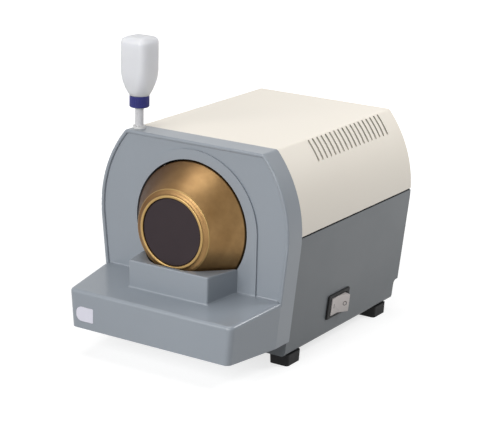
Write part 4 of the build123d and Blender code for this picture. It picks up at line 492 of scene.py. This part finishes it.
class EdgerBottle(bpy.types.PropertyGroup):
    milk_colour: FloatVectorProperty(
        name="Polyethylene", description="Milky bottle wall", default=linear("#DCDDE0")[:3], subtype="COLOR",
        min=0, max=1,
    )
    shoulder_height: FloatProperty(
        name="Shoulder height", description="From the cap's rim to the full width", default=30.0 * MM,
        unit="LENGTH", subtype="DISTANCE",
    )
    shoulder_drop: FloatProperty(
        name="Shoulder drop", description="Narrower at the cap than at the full width", default=11.5 * MM,
        unit="LENGTH", subtype="DISTANCE",
    )
    swell: FloatProperty(name="Swell", description="How early the shoulder reaches its width", default=2.8)
    squaring: FloatProperty(name="Squaring", description="How early the round shoulder turns square", default=1.5)
    corner_radius: FloatProperty(
        name="Corner radius", description="Upright corners of the bottle", default=7.2 * MM, unit="LENGTH",
        subtype="DISTANCE",
    )
    end_radius: FloatProperty(
        name="End radius", description="Edge of the bottle's upper end", default=6.8 * MM, unit="LENGTH",
        subtype="DISTANCE",
    )
    wall: FloatProperty(
        name="Neck wall", description="Thickness round the mouth", default=1.3 * MM, unit="LENGTH",
        subtype="DISTANCE",
    )
    mouth_depth: FloatProperty(
        name="Mouth depth", description="Depth of the open mouth", default=8.5 * MM, unit="LENGTH",
        subtype="DISTANCE",
    )


class EdgerStage(bpy.types.PropertyGroup):
    azimuth: FloatProperty(
        name="Azimuth", description="Camera round the edger, from its front", default=math.radians(32.81),
        unit="ROTATION", subtype="ANGLE",
    )
    elevation: FloatProperty(
        name="Elevation", description="Camera above the table", default=math.radians(16.42),
        unit="ROTATION", subtype="ANGLE",
    )
    roll: FloatProperty(
        name="Roll", description="Camera turned about its own line", default=math.radians(1.37),
        unit="ROTATION", subtype="ANGLE",
    )
    distance: FloatProperty(
        name="Distance", description="Camera to the point it looks at", default=1.83439,
        unit="LENGTH", subtype="DISTANCE",
    )
    lens: FloatProperty(name="Lens", description="Focal length in millimetres", default=128.0)
    target: FloatVectorProperty(
        name="Target", description="Point the camera looks at", default=(0.06362, -0.099, 0.17594),
        subtype="TRANSLATION", unit="LENGTH",
    )
    floor_colour: FloatVectorProperty(
        name="Floor", description="Light that the floor sends back", default=(0.42, 0.42, 0.42), subtype="COLOR",
        min=0, max=1,
    )
    floor_size: FloatProperty(
        name="Floor size", description="Side of the square floor", default=12.0, unit="LENGTH", subtype="DISTANCE",
    )
    shade_end: FloatProperty(
        name="Shade ends", description="Up to here from the middle the floor shows its shadow", default=0.35,
        unit="LENGTH", subtype="DISTANCE",
    )
    white_start: FloatProperty(
        name="White starts", description="From here outwards the floor is plain white", default=1.1,
        unit="LENGTH", subtype="DISTANCE",
    )
    floor_glow: FloatProperty(
        name="Floor glow", description="Brings the floor up to white where it is seen", default=0.74, min=0, max=1
    )
    ambient: FloatProperty(name="Ambient", description="Light from all round", default=0.16, min=0, max=2)
    key: FloatProperty(
        name="Key lamp", description="Power of the large lamp at the front left", default=40.0, unit="POWER",
    )
    near: FloatProperty(
        name="Near lamp", description="Power of the small lamp close to the front", default=2.1, unit="POWER",
    )
    side: FloatProperty(
        name="Side lamp", description="Power of the small lamp above the right side", default=4.4, unit="POWER",
    )
    top: FloatProperty(
        name="Top lamp", description="Power of the lamp overhead", default=26.5, unit="POWER",
    )


class STAGE_OT_studio(bpy.types.Operator):
    """Sets the camera, the pale floor and the soft studio lamps"""

    bl_idname = "edger.studio"
    bl_label = "Studio"

    # each square lamp's place and side in metres; its power is the setting of the same name. On the
    # front and the top a matt colour renders about as it is written, and the side is in half shade
    LAMPS = {
        "key": ((-0.7, -2.6, 1.2), 1.6),
        "near": ((0.18, -0.85, 0.42), 0.45),
        "side": ((0.75, 0.44, 0.8), 0.35),
        "top": ((-0.3, -0.1, 2.7), 1.6),
    }
    LAMP_AIM = Vector((0, 0, 0.12))

    def execute(self, context):
        settings = context.scene.edger_stage
        self.camera(context, settings)
        self.floor(settings)
        self.world(context, settings)
        for name, (place, size) in self.LAMPS.items():
            self.lamp(name + "_lamp", place, size, getattr(settings, name))
        return {"FINISHED"}

    def camera(self, context, settings):
        """A camera that looks at the target from the set angles, distance and roll."""
        data = bpy.data.cameras.new("studio_camera")
        data.sensor_width = 36.0
        data.lens = settings.lens
        data.clip_end = 50.0
        holder = bpy.data.objects.new("studio_camera", data)
        context.scene.collection.objects.link(holder)
        az, el, roll = settings.azimuth, settings.elevation, settings.roll
        back = Vector((math.sin(az) * math.cos(el), -math.cos(az) * math.cos(el), math.sin(el)))
        right = Vector((math.cos(az), math.sin(az), 0))
        up = back.cross(right)
        axis_x = right * math.cos(roll) + up * math.sin(roll)
        axis_y = -right * math.sin(roll) + up * math.cos(roll)
        turn = Matrix((axis_x, axis_y, back)).transposed().to_4x4()
        holder.matrix_world = Matrix.Translation(Vector(settings.target) + back * settings.distance) @ turn
        context.scene.camera = holder
        context.scene.view_settings.view_transform = "Standard"

    def floor(self, settings):
        """A floor that is white where it is seen and sends back little light."""
        deselect()
        bpy.ops.mesh.primitive_plane_add(size=settings.floor_size, location=(0, 0, 0))
        floor = bpy.context.object
        floor.name = "studio_floor"
        material, tree, shader, place = new_material("matt_paper_sweep")
        tree.nodes.remove(shader)
        # far from the edger the paper is plain white; near it the lamps and the shadow show
        reach = add(tree, "VectorMath", {0: place}, operation="LENGTH")
        ends = {1: settings.shade_end, 2: settings.white_start, 3: settings.floor_glow, 4: 1.0}
        far = add(tree, "MapRange", {0: reach.outputs["Value"], **ends})
        lift = add(tree, "Math", {0: seen_directly(tree), 1: far.outputs[0]}, operation="MULTIPLY")
        paper = add(tree, "BsdfDiffuse", {"Color": list(settings.floor_colour) + [1.0]})
        glow = add(tree, "Emission", {"Color": (1, 1, 1, 1), "Strength": lift.outputs[0]})
        both = add(tree, "AddShader", {0: paper.outputs[0], 1: glow.outputs[0]})
        output = next(n for n in tree.nodes if n.bl_idname == "ShaderNodeOutputMaterial")
        tree.links.new(both.outputs[0], output.inputs["Surface"])
        floor.data.materials.append(material)

    def world(self, context, settings):
        """A surround that is white where it is seen and lights the edger softly."""
        world = bpy.data.worlds.new("studio")
        context.scene.world = world
        world.use_nodes = True
        tree = world.node_tree
        tree.nodes.clear()
        level = add(tree, "MapRange", {0: seen_directly(tree), 1: 0.0, 2: 1.0, 3: settings.ambient, 4: 1.0})
        sky = add(tree, "Background", {"Color": (1, 1, 1, 1), "Strength": level.outputs[0]})
        add(tree, "OutputWorld", {"Surface": sky.outputs[0]})

    def lamp(self, name, place, size, power):
        """A square lamp turned towards the edger."""
        data = bpy.data.lights.new(name, "AREA")
        data.shape = "SQUARE"
        data.size = size
        data.energy = power
        lamp = bpy.data.objects.new(name, data)
        bpy.context.scene.collection.objects.link(lamp)
        lamp.location = place
        aim = self.LAMP_AIM - Vector(place)
        lamp.rotation_euler = aim.to_track_quat("-Z", "Y").to_euler()


class EDGER_OT_housing(bpy.types.Operator):
    """Finishes the front moulding, the body, the cover and the rear"""

    bl_idname = "edger.housing"
    bl_label = "Housing"

    # hollow fillets beside the trough block: inner and outer end from the middle, and the wall behind
    # the fascia's front face that each lies against
    COVES = ((63.6 * MM, 84.8 * MM, 0.6 * MM), (84.8 * MM, 112.4 * MM, 2.4 * MM))
    COVE_FOOT, COVE_TOP = 84.0 * MM, 86.0 * MM
    COVE_DEPTH = 1.8 * MM
    COVE_PROFILE = 0.08
    # the bare label: its left, right, lower and upper edge, its skin and its back behind the tray's
    # front face, and the radii of its round left end and its right corners
    LABEL_SIDES = (-97.5 * MM, -74.3 * MM)
    LABEL_EDGES = (42.1 * MM, 58.7 * MM)
    LABEL_SKIN, LABEL_BACK = 0.02 * MM, 0.48 * MM
    LABEL_ROUND, LABEL_CORNER = 7.4 * MM, 1.2 * MM

    def execute(self, context):
        settings = context.scene.edger_housing
        # glossy lacquer sprayed on moulded ABS: a clear, slightly wavy reflection over soft grey-blue
        lacquer = finish(
            "lacquered_abs", settings.front_light, settings.front_dark, 60, 9.0, 0.006, 0.34,
            Coat_Weight=0.25, Coat_Roughness=0.1, IOR=1.5,
        )
        # satin stoving enamel on sheet steel: even, with a very fine peel
        enamel = finish("satin_enamel_grey", "#666B6F", "#63686C", 90, 1.6, 0.02, 0.42, IOR=1.5)
        ivory = finish("satin_enamel_ivory", "#F3EDE1", "#F0E8DC", 120, 1.6, 0.02, 0.42, IOR=1.5)
        panel = finish("satin_enamel_panel", "#666C71", "#62686D", 90, 1.6, 0.02, 0.48, IOR=1.5)
        # closed-cell foam rubber: a black line that sends nearly nothing back
        foam = finish("foam_rubber_black", "#131313", "#0A0A0A", 6, 0.8, 0.2, 0.85, Specular_IOR_Level=0.2)
        # moulded rubber: near black, dull, with a soft edge to its highlights
        rubber = finish(
            "moulded_rubber_black", "#171718", "#0F0F10", 14, 1.2, 0.04, 0.62, Specular_IOR_Level=0.25
        )
        # zinc plating: pale metal with a faint spangle, brighter on the screws than on the sheets
        zinc = finish("zinc_plated_sheet", "#B9BDC0", "#A2A7AB", 9, 1.5, 0.01, 0.36, Metallic=1.0)
        screw = finish("zinc_plated_steel", "#C4C5C6", "#AEB0B2", 3, 0.6, 0.01, 0.3, Metallic=1.0)
        dress(["front_housing"], lacquer)
        self.coves(lacquer)
        self.label()
        dress(["lower_body"], enamel)
        dress(["upper_cover"], ivory)
        dress(["rear_panel"], panel)
        dress(["joint_gasket"], foam)
        dress(["rubber_feet"], rubber)
        dress(["tray_plate", "base_plate", "bulkhead", "capacitor_clip"], zinc)
        dress(
            ["tray_screws", "panel_screws", "housing_screws", "foot_screws", "foot_nuts", "guard_screws",
             "motor_screws", "chassis_screws", "inlet_screws"],
            screw,
        )
        return {"FINISHED"}

    def coves(self, lacquer):
        """Hollow fillets where the fascia rises from the tray, beside the trough block."""
        for side in (-1, 1):
            for inner, outer, behind in self.COVES:
                left, right = sorted((side * inner, side * outer))
                wall = FASCIA + behind
                front = wall - self.COVE_DEPTH
                piece = block((left, front, self.COVE_FOOT), (right, wall, self.COVE_TOP))
                round_edges(
                    piece,
                    lambda edge: along(edge, 0)
                    and min(v.co.z for v in edge.verts) > self.COVE_TOP - 0.1 * MM
                    and max(v.co.y for v in edge.verts) < front + 0.1 * MM,
                    self.COVE_DEPTH - HAIR,
                    8,
                    profile=self.COVE_PROFILE,
                )
                name = f"cove_{'left' if side < 0 else 'right'}_{round(inner / MM)}"
                settle(piece, name, "housing", lacquer)

    def label(self):
        """The rating label's place: a bare pale plate in the recess of the tray's front."""
        # printed polyester film: a pale, even satin
        film = finish("label_film", "#D9D8E3", "#D2D1DD", 5, 0.6, 0.004, 0.34)
        (left, right), (lower, upper) = self.LABEL_SIDES, self.LABEL_EDGES
        plate = block((left, TRAY_FRONT + self.LABEL_SKIN, lower), (right, TRAY_FRONT + self.LABEL_BACK, upper))
        round_edges(plate, lambda e: along(e, 1) and e.verts[0].co.x < left + 0.1 * MM, self.LABEL_ROUND, 14)
        round_edges(plate, lambda e: along(e, 1) and e.verts[0].co.x > right - 0.1 * MM, self.LABEL_CORNER, 4)
        settle(plate, "rating_label", "housing", film)


class EDGER_OT_wheel(bpy.types.Operator):
    """Turns the bronze cone wheel and finishes its core, cap and guard"""

    bl_idname = "edger.wheel"
    bl_label = "Cone wheel"

    def execute(self, context):
        settings = context.scene.edger_wheel
        bronze = bronze_bond("turned_bronze", settings)
        self.ring(bronze, settings)
        # turned aluminium and steel: bright metal with a fine, even grain
        dress(["wheel_core"], finish("turned_aluminium", "#C9CBCD", "#B7B9BC", 8, 0.8, 0.01, 0.3, Metallic=1.0))
        dress(
            ["clamp_washer", "wheel_nut", "drive_flange", "motor_shaft", "front_bearing", "rear_bearing",
             "switch_pivot"],
            finish("turned_steel", "#BFC1C4", "#A9ACB0", 5, 0.7, 0.01, 0.26, Metallic=1.0),
        )
        # compression-moulded disc: dull purple-brown with a faint bloom
        disc = finish(
            "moulded_disc", "#362D30", "#2E2529", 30, 1.2, 0.012, 0.42, Specular_IOR_Level=0.15
        )
        dress(["wheel_cap"], disc)
        # moulded polypropylene and nitrile rubber: dull blacks behind the wheel
        dress(["splash_guard"], finish("black_polypropylene", "#1B1B1C", "#121213", 20, 0.8, 0.04, 0.5))
        dress(["shaft_seal", "bottle_seal"], finish("nitrile_black", "#1A1A1A", "#101010", 8, 0.8, 0.03, 0.55))
        return {"FINISHED"}

    def ring(self, bronze, settings):
        """The diamond layer as it leaves the lathe: lip, hollow, ridge and cone, with eased edges."""
        low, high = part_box("grinding_ring")
        centre = ((low.x + high.x) / 2, (low.z + high.z) / 2)
        stations = [(low.y + behind * MM, radius * MM) for behind, radius in RING_STATIONS]
        piece = turned(stations, centre, settings.steps)
        settle(piece, "turned_ring", "spindle", bronze, ["grinding_ring"], crease=24)


class EDGER_OT_motor(bpy.types.Operator):
    """Finishes the motor and the electrical parts"""

    bl_idname = "edger.motor"
    bl_label = "Motor"

    def execute(self, context):
        dress(["rotor_core", "stator_core"], stacked_steel("stacked_steel"))
        # enamelled copper wire: a red-brown shine
        dress(["windings"], finish("enamelled_copper", "#B4683A", "#8E4C26", 3, 0.8, 0.3, 0.35, Metallic=1.0))
        # air-dried enamel: plain dark grey
        dress(["motor_can", "fan_cowl"], finish("motor_enamel", "#3C4146", "#34393E", 50, 1.2, 0.05, 0.45))
        # die-cast aluminium: soft grey metal, rougher than turned parts
        dress(
            ["front_bell", "rear_bell", "motor_cradle"],
            finish("die_cast_aluminium", "#B4B6B8", "#9FA2A5", 12, 1.0, 0.05, 0.45, Metallic=1.0),
        )
        # moulded polyamide: matt black, or white with a soft sheen
        dress(
            ["cooling_fan", "drain_nipple", "mains_inlet", "switch_frame"],
            finish("black_polyamide", "#161617", "#0E0E0F", 12, 0.7, 0.02, 0.55, Specular_IOR_Level=0.25),
        )
        dress(
            ["terminal_block", "bottle_socket", "drip_nozzle"],
            finish("white_polyamide", "#DCDCDA", "#D2D2D1", 10, 1.0, 0.02, 0.36),
        )
        # lacquered can, nickelled pins and silicone hose: pale small parts inside and at the rear
        dress(["run_capacitor"], finish("grey_can", "#CFCFCB", "#C3C3BF", 20, 1.0, 0.02, 0.4))
        dress(["inlet_pins"], finish("nickelled_brass", "#CDBE8E", "#B9A873", 3, 0.6, 0.01, 0.28, Metallic=1.0))
        dress(["drip_hose"], finish("silicone_rubber", "#DADCDC", "#CFD1D1", 10, 1.0, 0.02, 0.45))
        return {"FINISHED"}


class EDGER_OT_switch(bpy.types.Operator):
    """Finishes the rocker switch"""

    bl_idname = "edger.switch"
    bl_label = "Rocker switch"

    INK_THICKNESS = 0.06 * MM
    MARK_LIFT = 0.02 * MM
    HOOP_RADIUS = 2.3 * MM
    HOOP_LINE = 0.84 * MM
    HOOP_FLATNESS = 0.08

    def execute(self, context):
        settings = context.scene.edger_switch
        # moulded polycarbonate: warm white with a clear gloss; the marks are dull printed ink
        shell = finish("moulded_polycarbonate", "#D9D0CE", "#CFC8C4", 14, 1.0, 0.01, 0.3, IOR=1.58)
        ink = finish("printing_ink", "#2B2223", "#241D1E", 2, 0.3, 0.004, 0.5)
        rocker = softened("switch_rocker", settings.edge_radius)
        settle(rocker, "eased_rocker", "rocker", shell, ["switch_rocker"])

        # the front half is pressed in level with the wall, and the rear half stands out by the joint's swing
        joint = JOINTS["rocker_tilt"]
        swing = math.radians(joint["range_deg"][1])
        rearward = Vector((0, 1, 0))
        outward = rearward.cross(Vector(joint["axis"]))
        middle = Vector(joint["pos_m"]) + (outward - rearward * math.tan(swing / 2)) * settings.pressed_face
        self.mark("on_mark", self.bar(settings), middle, -rearward, outward, settings.on_reach, swing, ink)
        raised = rearward * math.cos(swing) + outward * math.sin(swing)
        normal = outward * math.cos(swing) - rearward * math.sin(swing)
        self.mark("off_mark", self.hoop(), middle, raised, normal, settings.off_reach, swing, ink)
        return {"FINISHED"}

    def bar(self, settings):
        """The on mark: a flat upright bar about the origin."""
        half = (settings.mark_line / 2, settings.mark_height / 2, self.INK_THICKNESS / 2)
        return block([-side for side in half], half)

    def hoop(self):
        """The off mark: a flattened ring about the origin."""
        deselect()
        bpy.ops.mesh.primitive_torus_add(
            major_radius=self.HOOP_RADIUS, minor_radius=self.HOOP_LINE / 2, major_segments=40, minor_segments=8
        )
        piece = bpy.context.object
        piece.scale = (1, 1, self.HOOP_FLATNESS)
        choose(piece)
        bpy.ops.object.transform_apply(location=True, rotation=True, scale=True)
        return piece

    def mark(self, name, piece, middle, along_face, normal, reach, swing, ink):
        """Lays a mark on one half of the rocker, a reach away from its middle."""
        rearward_on_face = along_face if along_face.y > 0 else -along_face
        turn = Matrix((rearward_on_face, normal.cross(rearward_on_face), normal)).transposed().to_4x4()
        place = middle + along_face * reach / math.cos(swing / 2) + normal * self.MARK_LIFT
        piece.matrix_world = Matrix.Translation(place) @ turn
        settle(piece, name, "rocker", ink)


class EDGER_OT_bottle(bpy.types.Operator):
    """Finishes the water bottle and its stem"""

    bl_idname = "edger.bottle"
    bl_label = "Water bottle"

    RIM_CLEARANCE = 0.3 * MM
    NECK_TURN = 0.25 * MM
    SHOULDER_STEPS = 12
    END_STEPS = 8

    def execute(self, context):
        settings = context.scene.edger_bottle
        self.blown(polyethylene("natural_polyethylene", settings), settings)
        # extruded polyethylene tube: pale, with a wet sheen
        dress(["bottle_stem"], finish("clear_polyethylene", "#CBCBCD", "#C5C5C8", 6, 0.8, 0.01, 0.3))
        # moulded polypropylene: deep blue with a soft highlight on each rib
        blue = finish(
            "blue_polypropylene", "#232773", "#1C1F66", 12, 0.9, 0.02, 0.36, Specular_IOR_Level=0.35
        )
        dress(["bottle_cap"], blue)
        return {"FINISHED"}

    def blown(self, milk, settings):
        """The bottle as blow-moulding leaves it: a round neck with an open mouth, and round shoulders
        that swell into a rounded square."""
        low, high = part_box("water_bottle")
        centre = ((low.x + high.x) / 2, (low.y + high.y) / 2)
        width = high.x - low.x
        # the neck is round and as wide as the liner that it seals on, and the shoulder starts clear of the cap
        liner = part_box("bottle_seal")
        neck = liner[1].x - liner[0].x
        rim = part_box("bottle_cap")[1].z + self.RIM_CLEARANCE
        sections = [(height, neck, neck / 2 - HAIR) for height in (low.z, rim - self.NECK_TURN)]
        corner, end = settings.corner_radius, settings.end_radius
        for step in range(self.SHOULDER_STEPS + 1):
            left = 1 - step / self.SHOULDER_STEPS
            across = width - settings.shoulder_drop * left ** settings.swell
            rounding = corner + (across / 2 - corner) * left ** settings.squaring - HAIR
            sections.append((rim + settings.shoulder_height * (1 - left), across, rounding))
        for step in range(self.END_STEPS + 1):
            turn = math.radians(90 * step / self.END_STEPS)
            drawn = end * (1 - math.cos(turn))
            sections.append((high.z - end + end * math.sin(turn), width - 2 * drawn, corner - drawn))
        piece = lofted(sections, centre)
        bpy.ops.object.mode_set(mode="EDIT")
        pick(piece, "faces", lambda face: abs(face.calc_center_median().z - low.z) < HAIR)
        bpy.ops.mesh.inset(thickness=settings.wall)
        bpy.ops.mesh.extrude_region_move(TRANSFORM_OT_translate={"value": (0, 0, settings.mouth_depth)})
        bpy.ops.object.mode_set(mode="OBJECT")
        settle(piece, "blown_bottle", "bottle", milk, ["water_bottle"], crease=40)


class EDGER_PT_panel(bpy.types.Panel):
    """The edger's settings and operators in the 3D view's sidebar"""

    bl_idname = "EDGER_PT_panel"
    bl_label = "Lens Edger"
    bl_space_type = "VIEW_3D"
    bl_region_type = "UI"
    bl_category = "Lens Edger"

    def draw(self, context):
        for group, operators in STEPS:
            box = self.layout.box()
            if group:
                settings = getattr(context.scene, group)
                for field in settings.__annotations__:
                    box.prop(settings, field)
            for operator in operators:
                box.operator(operator.bl_idname)


GROUPS = {
    "edger_stage": EdgerStage,
    "edger_housing": EdgerHousing,
    "edger_wheel": EdgerWheel,
    "edger_switch": EdgerSwitch,
    "edger_bottle": EdgerBottle,
}
STEPS = [
    ("edger_stage", [STAGE_OT_studio]),
    ("edger_housing", [EDGER_OT_housing]),
    ("edger_wheel", [EDGER_OT_wheel]),
    (None, [EDGER_OT_motor]),
    ("edger_switch", [EDGER_OT_switch]),
    ("edger_bottle", [EDGER_OT_bottle]),
]
OPERATORS = [operator for _, operators in STEPS for operator in operators]


def register():
    for kind in [*GROUPS.values(), *OPERATORS, EDGER_PT_panel]:
        bpy.utils.register_class(kind)
    for name, kind in GROUPS.items():
        setattr(bpy.types.Scene, name, PointerProperty(type=kind))


def unregister():
    for name in GROUPS:
        delattr(bpy.types.Scene, name)
    for kind in reversed([*GROUPS.values(), *OPERATORS, EDGER_PT_panel]):
        bpy.utils.unregister_class(kind)


def main():
    register()
    bpy.ops.edger.studio()
    bpy.ops.edger.housing()
    bpy.ops.edger.wheel()
    bpy.ops.edger.motor()
    bpy.ops.edger.switch()
    bpy.ops.edger.bottle()


if __name__ == "__main__":
    main()
